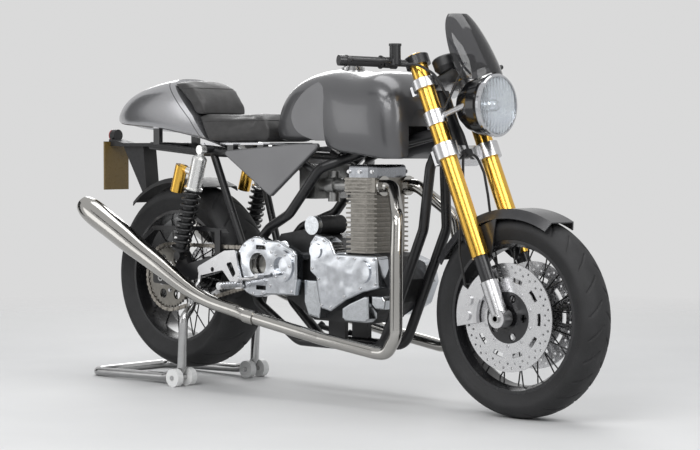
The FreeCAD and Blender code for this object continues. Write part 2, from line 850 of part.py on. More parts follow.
def make_headlamp():
    """A round lamp with a bulged shell, held by a bright clamp on each fork tube."""
    front = amount("lamp_front_x")
    height = amount("lamp_height")
    radius = amount("lamp_radius")
    lens = amount("lens_radius")
    depth = amount("lamp_depth")
    profile = [
        (-depth, 0), (-depth, radius * 0.42), (-depth * 0.9, radius * 0.62), (-depth * 0.7, radius * 0.82),
        (-depth * 0.45, radius * 0.93), (-depth * 0.2, radius * 0.97), (-16, radius), (-4, radius),
        (0, radius - 3), (0, lens), (-12, lens), (-30, 0),
    ]
    points = [FreeCAD.Vector(front + along, 0, height + out) for along, out in profile]
    axis = FreeCAD.Vector(1, 0, 0)
    middle = FreeCAD.Vector(front, 0, height)
    shell = Part.Face(Part.makePolygon(points + points[:1])).revolve(middle, axis, 360)
    crown = amount("lens_crown")
    ball = (lens ** 2 + crown ** 2) / (2 * crown)
    glass = rod(FreeCAD.Vector(front - 12, 0, height), FreeCAD.Vector(front + crown, 0, height), lens)
    glass = glass.common(Part.makeSphere(ball, FreeCAD.Vector(front + crown - 1 - ball, 0, height)))
    keep(shape_piece("headlamp", shell), "headlamp")
    keep(shape_piece("headlamp_lens", glass), "headlamp_lens")
    tube_radius = amount("fork_tube_radius")
    brackets = []
    for side in (-1, 1):
        spacing = side * amount("fork_spacing")
        low = fork_point(0, spacing, "lower_yoke_height + 108")
        high = fork_point(0, spacing, "lower_yoke_height + 152")
        clamp = rod(low, high, tube_radius + 6)
        reach = (low + high) * 0.5
        arm = rod(reach, FreeCAD.Vector(front - depth * 0.45, side * radius * 0.80, height + 4), 9)
        bracket = joined([clamp, arm])
        bracket = bracket.cut(rod(fork_point(0, spacing, 300), fork_point(0, spacing, 800), tube_radius))
        bracket = bracket.cut(shell)
        brackets.append(largest(bracket))
    keep(shape_piece("lamp_brackets", Part.makeCompound(brackets)), "lamp_brackets")
    make_screen(shell)


def screen_arch(level, nose, rear, half, skin):
    """One level of the screen's wall, a bow open to the rear."""
    def bow(inset):
        start = FreeCAD.Vector(rear, -half + inset, level)
        end = FreeCAD.Vector(rear, half - inset, level)
        crown = FreeCAD.Vector(nose - inset, 0, level)
        bulge = 0.80 * (half - inset)
        shoulder = rear + (nose - inset - rear) * 0.62
        curve = Part.BSplineCurve()
        curve.interpolate([start, FreeCAD.Vector(shoulder, -bulge, level), crown,
                           FreeCAD.Vector(shoulder, bulge, level), end])
        return curve
    outer = bow(0)
    inner = bow(skin)
    edges = [outer.toShape(), Part.LineSegment(outer.EndPoint, inner.EndPoint).toShape(), inner.toShape(),
             Part.LineSegment(inner.StartPoint, outer.StartPoint).toShape()]
    return Part.Wire(Part.__sortEdges__(edges))


def make_screen(lamp):
    """The tall dark screen that rises over the lamp, with a stay to each lamp bracket."""
    levels = [(640, 1322, 1262, 84), (672, 1318, 1236, 84), (710, 1300, 1214, 80), (750, 1276, 1196, 74),
              (790, 1248, 1180, 64), (822, 1222, 1170, 50), (840, 1204, 1166, 34)]
    skin = amount("screen_skin")
    wires = [screen_arch(level, nose, rear, half, skin) for level, nose, rear, half in levels]
    wall = Part.makeLoft(wires, True, False)
    swept = amount("lamp_radius") + 4
    front = amount("lamp_front_x")
    height = amount("lamp_height")
    start = FreeCAD.Vector(front - 200, 0, height)
    wall = wall.cut(rod(start, start + FreeCAD.Vector(260, 0, 0), swept))
    shapes = [wall]
    for side in (-1, 1):
        top = FreeCAD.Vector(1268, side * 77, 690)
        foot = fork_point(30, side * (amount("fork_spacing") - 6), "lower_yoke_height + 140")
        shapes.append(rod(foot, top, 4))
    solid = joined(shapes).cut(PIECES["lamp_brackets"].Shape).cut(lamp)
    keep(shape_piece("fly_screen", largest(solid)), "fly_screen")


def make_handlebars():
    """Clip-on bars with their grips, lever perches, levers and a brake reservoir."""
    tube_radius = amount("fork_tube_radius")
    reach = tube_radius + amount("yoke_wall")
    middle = amount("(bar_height + front_axle_drop) / cos(rake)")
    grips = []
    for side, word in ((-1, "right"), (1, "left")):
        spacing = side * amount("fork_spacing")
        low = fork_point(0, spacing, middle - 15)
        high = fork_point(0, spacing, middle + 15)
        end = FreeCAD.Vector(amount("bar_end_x"), side * amount("bar_end_y"), amount("bar_height"))
        start = fork_point(-12, spacing + side * (reach - 8), middle)
        run = (start - end).normalize()
        grip_start = end + run * 12
        weight = rod(end - run * 10, grip_start, amount("grip_radius") - 1)
        shape = joined([rod(low, high, reach), rod(start, end, amount("bar_radius")), weight])
        shape = shape.cut(rod(fork_point(0, spacing, 700), fork_point(0, spacing, 900), tube_radius))
        keep(shape_piece(f"handlebar_{word}", shape), f"handlebar_{word}")
        grip_end = grip_start + run * amount("grip_length")
        core = rod(grip_start, start, amount("bar_radius"))
        barrel = rod(grip_start, grip_end, amount("grip_radius") - 2)
        flange = rod(grip_end - run * 5, grip_end, amount("grip_radius") + 3)
        lip = rod(grip_start, grip_start + run * 5, amount("grip_radius"))
        grips.append(joined([barrel, flange, lip]).cut(core))
        perch_start = grip_end + run * 6
        ahead = run.cross(FreeCAD.Vector(0, 0, 1)).normalize() * -side
        pivot = perch_start + run * 14 + ahead * 34
        knee = pivot - run * 34 + ahead * 24
        tip = pivot - run * 150 + ahead * 30
        parts = [rod(perch_start, perch_start + run * 28, 17),
                 rod(perch_start + run * 14, pivot, 9),
                 rod(pivot - FreeCAD.Vector(0, 0, 9), pivot + FreeCAD.Vector(0, 0, 9), 11),
                 tube([pivot, knee, tip], 5.5, 50), Part.makeSphere(8, tip)]
        switch = perch_start + run * 42
        parts.append(rod(perch_start + run * 26, switch, 19))
        if side < 0:
            cup = pivot + run * 12 - ahead * 6
            parts.append(rod(cup - FreeCAD.Vector(0, 0, 6), cup + FreeCAD.Vector(0, 0, 48), 17))
            parts.append(rod(cup + FreeCAD.Vector(0, 0, 48), cup + FreeCAD.Vector(0, 0, 55), 19))
        keep(shape_piece(f"controls_{word}", joined(parts).cut(core)), f"controls_{word}")
    keep(shape_piece("grips", Part.makeCompound(grips)), "grips")
    make_instruments()


def make_instruments():
    """Two round dials on a plate over the upper yoke."""
    dials = [block(FreeCAD.Vector(-20, -56, 0), FreeCAD.Vector(84, 56, 4))]
    for side in (-1, 1):
        rim = [(0, 0), (30, 0), (39, 14), (40, 40), (37, 44), (34, 44), (34, 40), (0, 40)]
        corners = [FreeCAD.Vector(58 + across, side * 42, 4 + up) for across, up in rim]
        axis = FreeCAD.Vector(58, side * 42, 4)
        face = Part.Face(Part.makePolygon(corners + corners[:1]))
        dials.append(face.revolve(axis, FreeCAD.Vector(0, 0, 1), 360))
    top = joined(dials)
    top.translate(FreeCAD.Vector(0, 0, amount("upper_yoke_height + upper_yoke_depth")))
    keep(on_fork(shape_piece("instruments", Part.makeCompound([top]))), "instruments")


# Frame


def cradle_points(side):
    lower = amount("cradle_half_width") * side
    upright = amount("upright_half_width") * side
    pivot = amount("pivot_half_width") * side
    floor = -amount("cradle_bottom")
    top = fork_point("-yoke_offset", 0, "upper_yoke_height - 40")
    return [
        fork_point(-40, 14 * side, "lower_yoke_height + lower_yoke_depth + 62"),
        fork_point(-125, 34 * side, "lower_yoke_height + lower_yoke_depth - 18"),
        FreeCAD.Vector(1088, lower, 190),
        FreeCAD.Vector(920, lower, floor),
        FreeCAD.Vector(560, lower, floor),
        FreeCAD.Vector(400, pivot, -70),
        FreeCAD.Vector(amount("pivot_x"), pivot, amount("pivot_z")),
        FreeCAD.Vector(450, pivot, 178),
        FreeCAD.Vector(570, upright, 226),
        FreeCAD.Vector(705, upright, 374),
        FreeCAD.Vector(744, 84 * side, 390),
        FreeCAD.Vector(776, 44 * side, 408),
        FreeCAD.Vector(840, 38 * side, 430),
        FreeCAD.Vector(top.x - 14, 14 * side, top.z - 80),
    ]


def make_frame():
    radius = amount("tube_radius")
    thin = radius * 0.8
    shapes = []
    bottom = fork_point("-yoke_offset", 0, "lower_yoke_height + lower_yoke_depth + 2")
    top = fork_point("-yoke_offset", 0, "upper_yoke_height - 2")
    shapes.append(rod(bottom, top, amount("head_tube_radius")))
    height = amount("rail_height")
    arm_outer = amount("arm_inner + arm_width")
    for side in (-1, 1):
        shapes.append(tube(cradle_points(side), radius, 60))
        rail = amount("rail_half_width") * side
        shapes.append(rod(FreeCAD.Vector(690, 104 * side, 360), FreeCAD.Vector(560, rail, height), thin))
        shapes.append(tube([
            FreeCAD.Vector(600, rail, height - 14), FreeCAD.Vector(150, rail, height),
            FreeCAD.Vector(-120, rail * 0.8, height + 22),
        ], thin, 120))
        foot = FreeCAD.Vector(amount("pivot_x"), amount("pivot_half_width") * side, amount("pivot_z"))
        shapes.append(rod(foot, FreeCAD.Vector(amount("shock_top_x"), rail, height), thin))
        stud = FreeCAD.Vector(amount("shock_top_x"), rail, amount("shock_top_z"))
        shapes.append(rod(stud, FreeCAD.Vector(stud.x, side * arm_outer, stud.z), 10))
        tab = amount("cradle_half_width") * side
        shapes.append(block(FreeCAD.Vector(700, tab - 8, -amount("cradle_bottom")),
                            FreeCAD.Vector(770, tab + 8, -amount("case_floor"))))
    pivot = FreeCAD.Vector(amount("pivot_x"), 0, amount("pivot_z"))
    housing = FreeCAD.Vector(0, amount("pivot_half_width + tube_radius"), 0)
    shapes.append(rod(pivot - housing, pivot + housing, amount("pivot_tube_radius")))
    spindle = FreeCAD.Vector(0, arm_outer + 4, 0)
    shapes.append(rod(pivot - spindle, pivot + spindle, amount("spindle_radius")))
    cross = FreeCAD.Vector(-120, amount("rail_half_width") * 0.8, height + 22)
    shapes.append(rod(cross, FreeCAD.Vector(cross.x, -cross.y, cross.z), thin))
    hinge = side_stand_pivot()
    rail = FreeCAD.Vector(hinge.x, amount("cradle_half_width"), -amount("cradle_bottom"))
    shapes.append(rod(rail, hinge, 12))
    shapes.append(hinge_boss())
    solid = joined(shapes)
    stem = amount("stem_radius + bearing_clearance")
    solid = solid.cut(rod(bottom - (top - bottom), top + (top - bottom), stem))
    keep(shape_piece("frame", solid), "frame")


def side_stand_pivot():
    return FreeCAD.Vector(640, amount("cradle_half_width") + 26, -amount("cradle_bottom") - 4)


def side_stand_ends():
    """The stand leg's headings when folded and when down."""
    return FreeCAD.Vector(-0.96, 0.26, 0.08).normalize(), FreeCAD.Vector(0.12, 0.60, -0.79).normalize()


def hinge_boss():
    """The boss on the left lower rail that carries the side stand."""
    hinge = side_stand_pivot()
    folded, down = side_stand_ends()
    axis = folded.cross(down).normalize()
    return rod(hinge + axis * 6, hinge - axis * (amount("stand_hinge_gap") - 0.3), 11)


def make_side_stand():
    """The folded side stand on the left lower rail."""
    hinge = side_stand_pivot()
    folded, down = side_stand_ends()
    axis = folded.cross(down).normalize()
    near = amount("stand_hinge_gap")
    eye = hinge - axis * near
    leg = hinge - axis * (near + 10)
    shapes = [rod(eye, eye - axis * 20, 17), rod(leg, leg + folded * 196, 9)]
    tip = leg + folded * 190
    shapes.append(rod(tip - axis * 14, tip + axis * 14, 12))
    keep(shape_piece("side_stand", joined(shapes)), "side_stand")


def make_swingarm():
    """Two box arms on the pivot, with lugs for the dampers and the chain's guard on the right one."""
    pivot = FreeCAD.Vector(amount("pivot_x"), 0, amount("pivot_z"))
    inner = amount("arm_inner")
    width = amount("arm_width")
    tall = amount("arm_height") / 2
    arms = []
    for side in (-1, 1):
        near = side * inner
        outward = FreeCAD.Vector(0, side * width, 0)
        profile = [
            FreeCAD.Vector(-44, near, -20), FreeCAD.Vector(-44, near, 20), FreeCAD.Vector(60, near, 34),
            FreeCAD.Vector(pivot.x, near, pivot.z + tall), FreeCAD.Vector(pivot.x + 24, near, pivot.z),
            FreeCAD.Vector(pivot.x, near, pivot.z - tall), FreeCAD.Vector(60, near, -26),
        ]
        shapes = [Part.Face(rounded_wire(profile, 10)).extrude(outward)]
        sleeve = FreeCAD.Vector(pivot.x, side * amount("pivot_half_width + tube_radius"), pivot.z)
        shapes.append(rod(sleeve, FreeCAD.Vector(pivot.x, side * (inner + width), pivot.z),
                          amount("pivot_tube_radius")))
        foot = FreeCAD.Vector(amount("shock_foot_x"), near, amount("shock_foot_z"))
        shapes.append(rod(foot, foot + outward, amount("shock_eye_radius")))
        web = [FreeCAD.Vector(foot.x - 40, near, 20), FreeCAD.Vector(foot.x - 12, near, foot.z + 8),
               FreeCAD.Vector(foot.x + 12, near, foot.z + 8), FreeCAD.Vector(foot.x + 50, near, 20)]
        shapes.append(Part.Face(Part.makePolygon(web + web[:1])).extrude(outward))
        if side < 0:
            skirt = [(-137, 129), (-75, 172), (157, 176), (287, 169), (300, 158), (150, 162), (-70, 158),
                     (-125, 122)]
            shapes.append(extruded(skirt, -inner, 3 - inner))
            shapes.append(extruded([(-75, 172), (157, 176), (157, 173), (-75, 169)], -inner, 24 - inner))
            shapes.append(block(FreeCAD.Vector(236, -inner - 4, 70), FreeCAD.Vector(262, 3 - inner, 166)))
        arms.append(joined(shapes))
    solid = Part.makeCompound(arms)
    reach = FreeCAD.Vector(0, 200, 0)
    solid = solid.cut(rod(-reach, reach, amount("axle_radius")))
    solid = solid.cut(rod(pivot - reach, pivot + reach, amount("spindle_radius")))
    keep(shape_piece("swingarm", solid), "swingarm")


def shock(name, side):
    """A damper between the swingarm and the seat rail, with its reservoir on a neck behind it."""
    eye_width = amount("shock_eye_width")
    y = side * amount("arm_inner + arm_width + shock_eye_width / 2")
    top = FreeCAD.Vector(amount("shock_top_x"), y, amount("shock_top_z"))
    foot = FreeCAD.Vector(amount("shock_foot_x"), y, amount("shock_foot_z"))
    run = top - foot
    length = run.Length
    seat = amount("spring_radius + spring_wire_radius - 1")
    low = amount("spring_seat")
    high = length * amount("spring_share")
    profile = [
        (0, 0), (11, 0), (11, low - 8), (seat, low - 8), (seat, low), (19, low), (19, high),
        (seat, high), (seat, high + 9), (25, high + 12), (25, length - 30), (17, length - 22),
        (11, length - 22), (11, length), (0, length),
    ]
    corners = [FreeCAD.Vector(across, 0, up) for across, up in profile]
    body = Part.Face(Part.makePolygon(corners + corners[:1])).revolve(
        FreeCAD.Vector(0, 0, 0), FreeCAD.Vector(0, 0, 1), 360)
    turn = FreeCAD.Rotation(FreeCAD.Vector(0, 0, 1), run)
    body.Placement = FreeCAD.Placement(foot, turn)
    eyes = [Part.makeCylinder(amount("shock_eye_radius"), eye_width,
                              eye - FreeCAD.Vector(0, eye_width / 2, 0), FreeCAD.Vector(0, 1, 0))
            for eye in (foot, top)]
    heading = FreeCAD.Vector(run).normalize()
    can = FreeCAD.Vector(amount("shock_top_x - 124"), y, amount("shock_top_z - 139"))
    reservoir = rod(can, can + heading * 92, amount("reservoir_radius"))
    neck_height = (can + heading * 84 - foot).dot(heading)
    neck = rod(can + heading * 84, foot + heading * neck_height, 12)
    wind = Part.makeHelix((high - low - 2 * amount("spring_wire_radius")) / amount("spring_turns") - 0.07,
                          high - low - 2 * amount("spring_wire_radius") - 0.6, amount("spring_radius"))
    start = FreeCAD.Vector(amount("spring_radius"), 0, 0)
    wire = Part.Wire([Part.makeCircle(amount("spring_wire_radius"), start, FreeCAD.Vector(0, 1, 0))])
    coil = wind.makePipeShell([wire], True, True)
    coil.Placement = FreeCAD.Placement(foot + heading * (low + amount("spring_wire_radius") + 0.3), turn)
    return shape_piece(name, joined([body] + eyes + [reservoir, neck])), coil


# Engine


def make_engine():
    make_crankcase()
    barrel = finned("cylinder_barrel", "deck_height", "barrel_height", 0, "fin_count")
    keep(barrel, "cylinder_barrel")
    head = finned("cylinder_head", "deck_height + barrel_height", "head_height", 8, 4)
    ports = new_sketch(head, "XY_Plane", "deck_height + barrel_height")
    outline(ports, [
        ("barrel_rear_x - 8", -82), ("barrel_rear_x + barrel_length + 8", -92),
        ("barrel_rear_x + barrel_length + 8", 92), ("barrel_rear_x - 8", 82),
    ])
    pad(head, ports, "head_height")
    rocker = new_sketch(head, "XY_Plane", "deck_height + barrel_height + head_height")
    plan(rocker, 8, 12, "fin_corner * 0.8")
    pad(head, rocker, "rocker_height")
    smooth(head, 12, lies_at("z", amount("deck_height + barrel_height + head_height + rocker_height")))
    keep(head, "cylinder_head")
    timing = rounded_plate("timing_cover", [
        (676, 48), (676, 140), (700, 166), (738, 160), (768, 144), (787, 107), (962, 106), (968, 8),
        (900, -8), (829, -36), (765, -74), (722, -66), (704, 30),
    ], "case_half_width", "cover_thickness", 12, 7)
    boss(timing, 705, 114, 24, "case_half_width + cover_thickness", 5)
    boss(timing, 900, 56, 36, "case_half_width + cover_thickness", 6)
    keep(timing, "timing_cover")
    make_gearbox_cover()
    primary = rounded_plate("primary_cover", [
        (500, 150), (560, 165), (755, 152), (785, 107), (905, 106), (985, 80), (1000, 20), (970, -50),
        (900, -90), (560, -60), (490, 0),
    ], "-case_half_width - primary_thickness", "primary_thickness", 16, 10, left=True)
    keep(primary, "primary_cover")
    make_intake()


def make_intake():
    """The air box and the throats that bolt to the back of the head."""
    port = amount("barrel_rear_x") - 8
    height = amount("deck_height + barrel_height") + 20
    shapes = [block(FreeCAD.Vector(592, -84, height - 44), FreeCAD.Vector(660, 84, height + 66))]
    for side in (-1, 1):
        y = side * 46
        shapes.append(rod(FreeCAD.Vector(655, y, height), FreeCAD.Vector(port, y, height), 22))
        shapes.append(rod(FreeCAD.Vector(port - 8, y, height), FreeCAD.Vector(port, y, height), 26))
        shapes.append(rod(FreeCAD.Vector(690, y, height), FreeCAD.Vector(724, y, height), 29))
        shapes.append(rod(FreeCAD.Vector(708, y, height - 52), FreeCAD.Vector(708, y, height + 44), 19))
    keep(shape_piece("intake", joined(shapes)), "intake")


def make_gearbox_cover():
    """The open ring round the gearbox sprocket with a second round boss, on spacers off the case."""
    inner = "chain_line + chain_width / 2 + 3"
    cover = new_body("gearbox_cover")
    sketch = new_sketch(cover, "XZ_Plane", inner)
    ring(sketch, "front_sprocket_x - 8", "front_sprocket_z - 6", 98)
    pad(cover, sketch, "gearbox_cover_thickness")
    body = new_sketch(cover, "XZ_Plane", inner)
    outline(body, [(500, -34), (628, -30), (636, 20), (636, 100), (624, 112), (560, 140), (500, 142)])
    pad(cover, body, "gearbox_cover_thickness")
    smooth(cover, 7, lies_at("y", -amount(f"{inner} + gearbox_cover_thickness")))
    boss(cover, 571, 61, 52, f"{inner} + gearbox_cover_thickness - 2", 8)
    outer = f"{inner} + gearbox_cover_thickness + 20"
    opening = new_sketch(cover, "XZ_Plane", outer)
    ring(opening, "front_sprocket_x", "front_sprocket_z + 2", "gearbox_opening_radius")
    pad(cover, opening, 80, kind="Pocket")
    recess = new_sketch(cover, "XZ_Plane", outer)
    ring(recess, 571, 61, 30)
    pad(cover, recess, 26, kind="Pocket")
    clear = new_sketch(cover, "XZ_Plane", outer)
    ring(clear, "pivot_x", "pivot_z", 40)
    pad(cover, clear, 80, kind="Pocket")
    for slot_z in (118, -12):
        slot = new_sketch(cover, "XZ_Plane", outer)
        outline(slot, [(456, slot_z - 7), (500, slot_z - 7), (500, slot_z + 7), (456, slot_z + 7)])
        pad(cover, slot, 80, kind="Pocket")
    spacer_room = f"{inner} - case_half_width + 2"
    for across, up in ((566, 61), (614, 4), (614, 92)):
        boss(cover, across, up, 14, "case_half_width", spacer_room)
    keep(cover, "gearbox_cover")
    middle = -amount("chain_line")
    tip = amount("front_sprocket_radius + chain_clearance - seat_gap")
    teeth = toothed(middle, amount("sprocket_width"), tip, 6, 17, 10)
    teeth.translate(FreeCAD.Vector(amount("front_sprocket_x"), 0, amount("front_sprocket_z")))
    shaft = rod(vector("front_sprocket_x", "-case_half_width", "front_sprocket_z"),
                vector("front_sprocket_x", "-chain_line - sprocket_width", "front_sprocket_z"), 15)
    keep(shape_piece("front_sprocket", joined([teeth, shaft])), "front_sprocket")


def make_crankcase():
    """The closed cases with the starter motor behind the barrels and the lower bosses on the right."""
    case = side_plate("crankcase", [
        ("case_rear_x", "-case_floor"), ("case_rear_x + 230", "-case_floor"),
        ("case_rear_x + 298", "-case_floor + 66"),
        ("case_rear_x + 336", 30), ("barrel_rear_x + barrel_length + 30", "deck_height - 10"),
        ("barrel_rear_x + barrel_length + 10", "deck_height"), ("barrel_rear_x - 30", "deck_height"),
        ("case_rear_x + 50", 150), ("case_rear_x - 50", 176), (500, 160), (430, 60), (450, -10), (560, -60),
    ], "-case_half_width", "2 * case_half_width")
    boss(case, "case_rear_x + 6", 192, "starter_radius", -40, 135)
    for corners in (
        [(642, 20), (700, 20), (716, -50), (706, -100), (660, -92), (642, -50)],
        [(806, -62), (835, -46), (900, -20), (917, -20), (917, -90), (900, -102), (820, -102), (806, -92)],
        [(930, -17), (975, -17), (985, -30), (980, -57), (945, -57), (930, -44)],
    ):
        lobe = new_sketch(case, "XZ_Plane", "case_half_width")
        outline(lobe, corners)
        pad(case, lobe, "cover_thickness * 0.8")
    smooth(case, 6, lies_at("y", -amount("case_half_width + cover_thickness * 0.8")))
    keep(case, "crankcase")


def exhaust_points(side):
    port = amount("barrel_rear_x + barrel_length + 8")
    height = amount("deck_height + barrel_height") + 20
    points = [
        (port, 58, height), (port + 44, 58, height), (1052, 134, 226), (1062, 150, 120), (1062, 152, -130),
        (1024, 152, -186), (980, 153, -186), (760, 164, -156), (445, 182, -101),
    ]
    return [FreeCAD.Vector(x, side * y, z) for x, y, z in points]


def silencer(side):
    """A megaphone that widens to the rear and closes again to an open tip."""
    stations = [(445, 182, -101, 21), (330, 186, -76, 22), (200, 190, -36, 25), (90, 194, 20, 31),
                (-60, 198, 97, 37), (-200, 203, 172, 42), (-262, 206, 205, 43), (-304, 208, 228, 40),
                (-332, 209, 243, 31)]
    circles = []
    for index, (x, y, z, radius) in enumerate(stations):
        before = stations[max(index - 1, 0)]
        after = stations[min(index + 1, len(stations) - 1)]
        heading = FreeCAD.Vector(after[0] - before[0], side * (after[1] - before[1]), after[2] - before[2])
        if index == 0:
            pipe = exhaust_points(side)
            heading = pipe[-1] - pipe[-2]
        circles.append(Part.Wire([Part.makeCircle(radius, FreeCAD.Vector(x, side * y, z), heading)]))
    shell = Part.makeLoft(circles, True, False)
    x, y, z, radius = stations[-1]
    tip = FreeCAD.Vector(x, side * y, z)
    ahead = stations[-2]
    inward = FreeCAD.Vector(ahead[0] - x, side * (ahead[1] - y), ahead[2] - z).normalize()
    return shell.cut(rod(tip - inward * 20, tip + inward * 70, 24))


def make_exhaust():
    for side, word in ((-1, "right"), (1, "left")):
        points = exhaust_points(side)
        pipe = tube(points, amount("pipe_radius"), 60)
        run = (points[1] - points[0]).normalize()
        flange = rod(points[0], points[0] + run * 9, amount("pipe_radius") + 11)
        keep(shape_piece(f"exhaust_pipe_{word}", joined([pipe, flange])), f"exhaust_pipe_{word}")
        clamp_start = points[-1]
        heading = (points[-2] - points[-1]).normalize()
        sleeve = rod(clamp_start, clamp_start + heading * 42, amount("pipe_radius") + 4)
        sleeve = sleeve.cut(pipe)
        keep(shape_piece(f"silencer_{word}", joined([silencer(side), sleeve])), f"silencer_{word}")


# Bodywork


def section(x, half, bottom, top):
    """A closed rounded section across the motorcycle at one X."""
    height = top - bottom
    right = [(0, bottom), (half * 0.86, bottom), (half, bottom + height * 0.30),
             (half * 0.975, bottom + height * 0.62), (half * 0.80, bottom + height * 0.88),
             (half * 0.42, bottom + height * 0.985), (0, top)]
    left = [(-y, z) for y, z in reversed(right[1:-1])]
    points = [FreeCAD.Vector(x, y, z) for y, z in right + left]
    curve = Part.BSplineCurve()
    curve.interpolate(points, PeriodicFlag=True)
    return Part.Wire([curve.toShape()])


def extruded(corners, low, high):
    """A side outline carried across from one Y to another."""
    points = [FreeCAD.Vector(x, low, z) for x, z in corners]
    return Part.Face(Part.makePolygon(points + points[:1])).extrude(FreeCAD.Vector(0, high - low, 0))


def make_tank():
    """The long tank with a knee recess in each side and a round filler cap."""
    floor = amount("tank_floor")
    top = amount("tank_top")
    half = amount("tank_half_width")
    rear = amount("tank_rear_x")
    front = amount("tank_front_x")
    stations = [
        (rear, half * 0.44, floor + 56, floor + 92),
        (rear + 16, half * 0.60, floor + 48, floor + 160),
        (rear + 60, half * 0.70, floor + 44, top - 54),
        (rear + 130, half * 0.78, floor + 42, top - 18),
        (rear + 210, half * 0.86, floor + 38, top - 2),
        (rear + 290, half * 0.95, floor + 14, top - 3),
        (rear + 380, half, floor + 2, top - 14),
        (rear + 460, half, floor - 8, top - 14),
        (front - 46, half * 0.92, floor - 14, top - 46),
        (front - 18, half * 0.76, floor - 12, top - 88),
        (front, half * 0.46, floor + 2, top - 130),
    ]
    solid = Part.makeLoft([section(*station) for station in stations], True, False)
    tunnel = block(FreeCAD.Vector(rear - 20, -74, floor - 60), FreeCAD.Vector(front + 20, 74, floor + 86))
    under = block(FreeCAD.Vector(rear - 20, -200, floor - 90), FreeCAD.Vector(front + 20, 200, floor - 14))
    rear_under = block(FreeCAD.Vector(rear - 60, -200, floor - 90), FreeCAD.Vector(735, 200, floor + 44))
    solid = solid.cut(tunnel).cut(under).cut(rear_under)
    knee = [
        (rear - 20, floor + 30), (rear + 8, floor + 80), (rear + 30, floor + 165), (rear + 80, floor + 208),
        (rear + 140, floor + 232), (rear + 205, floor + 232), (rear + 240, floor + 212),
        (rear + 252, floor + 178), (rear + 254, floor - 20), (rear - 20, floor - 20),
    ]
    edge = [FreeCAD.Vector(x, 0, z) for x, z in knee]
    for side in (-1, 1):
        face = Part.Face(rounded_wire(edge, 26))
        face.translate(FreeCAD.Vector(0, side * half * 0.745, 0))
        solid = solid.cut(face.extrude(FreeCAD.Vector(0, side * 100, 0)))
    solid = largest(solid)
    keep(shape_piece("fuel_tank", solid), "fuel_tank")
    middle = FreeCAD.Vector(rear + 262, 0, top - 24)
    up = FreeCAD.Vector(0, 0, 1)
    cap = Part.makeCylinder(37, 30, middle, up).fuse(Part.makeCylinder(31, 38, middle, up))
    keep(shape_piece("fuel_cap", cap.removeSplitter().cut(solid)), "fuel_cap")


def make_tail():
    """The humped tail, its back pad, and the seat with its base on brackets."""
    half = amount("tail_half_width")
    top = amount("tail_height")
    rail = amount("rail_half_width")
    stations = [
        (-340, half * 0.35, 528, 556), (-290, half * 0.62, 522, 598), (-200, half * 0.82, 516, 640),
        (-80, half * 0.95, 508, top - 8), (20, half, 494, top), (110, half, 478, top - 26),
        (200, half, 458, top - 90), (260, half * 0.98, 440, top - 130),
    ]
    hump = Part.makeLoft([section(*station) for station in stations], True, False)
    seam = [(-6, top - 3), (123, 548), (178, 470), (250, 452)]
    hump = hump.cut(extruded(seam + [(400, 452), (400, top + 60), (-6, top + 60)], -300, 300))
    base = extruded([(150, 448), (470, 448), (474, 455), (150, 455)], 16 - half, half - 16)
    frame = PIECES["frame"].Shape
    supports = []
    for side in (-1, 1):
        y = side * rail
        supports.append(block(FreeCAD.Vector(292, y - 12, 420), FreeCAD.Vector(320, y + 12, 452)))
        supports.append(block(FreeCAD.Vector(432, y - 12, 416), FreeCAD.Vector(460, y + 12, 452)))
        y = side * 88
        supports.append(block(FreeCAD.Vector(-96, y - 8, 446), FreeCAD.Vector(-66, y + 8, 530)))
    solid = joined([hump, base] + supports).cut(frame)
    solid = largest(solid)
    cushion = extruded([
        (129, 547), (186, 462), (196, 455.3), (464, 455.3), (474, 470), (475, 500), (462, 532), (430, 545),
        (300, 542),
    ], 8 - half, half - 8)
    chosen = [edge for edge in cushion.Edges if abs(edge.Vertexes[0].Y - edge.Vertexes[-1].Y) < 1]
    cushion = cushion.makeFillet(12, [edge for edge in chosen if edge.BoundBox.ZMin > 500]).cut(solid)
    back = extruded([(3, top - 12), (124, 549.5), (166, 549.5), (162, 582), (120, 636), (66, top - 12)],
                    14 - half, half - 14)
    back = back.makeFillet(10, [edge for edge in back.Edges
                                if abs(edge.Vertexes[0].Y - edge.Vertexes[-1].Y) < 1
                                and edge.BoundBox.XMax > 125]).cut(solid).cut(cushion)
    keep(shape_piece("tail_cowl", solid), "tail_cowl")
    keep(shape_piece("back_pad", largest(back)), "back_pad")
    keep(shape_piece("seat_pad", largest(cushion)), "seat_pad")


def make_covers():
    """The side covers, with two pegs each that reach the seat rails."""
    corners = [(283, 428), (640, 452), (742, 452), (513, 281)]
    seat = "rail_half_width + tube_radius * 0.8 + 0.3"
    for side, word in ((1, "right"), (-1, "left")):
        thick = "side_cover_thickness"
        inner = "side_cover_y" if side > 0 else f"-side_cover_y - {thick}"
        cover = rounded_plate(f"side_cover_{word}", corners, inner, thick, 10, 5, left=side < 0)
        start = seat if side > 0 else "-side_cover_y - 4"
        for across, up in ((390, 418), (586, 410)):
            boss(cover, across, up, 6, start, f"side_cover_y + 4 - ({seat})")
        keep(cover, f"side_cover_{word}")


# Paddock stand


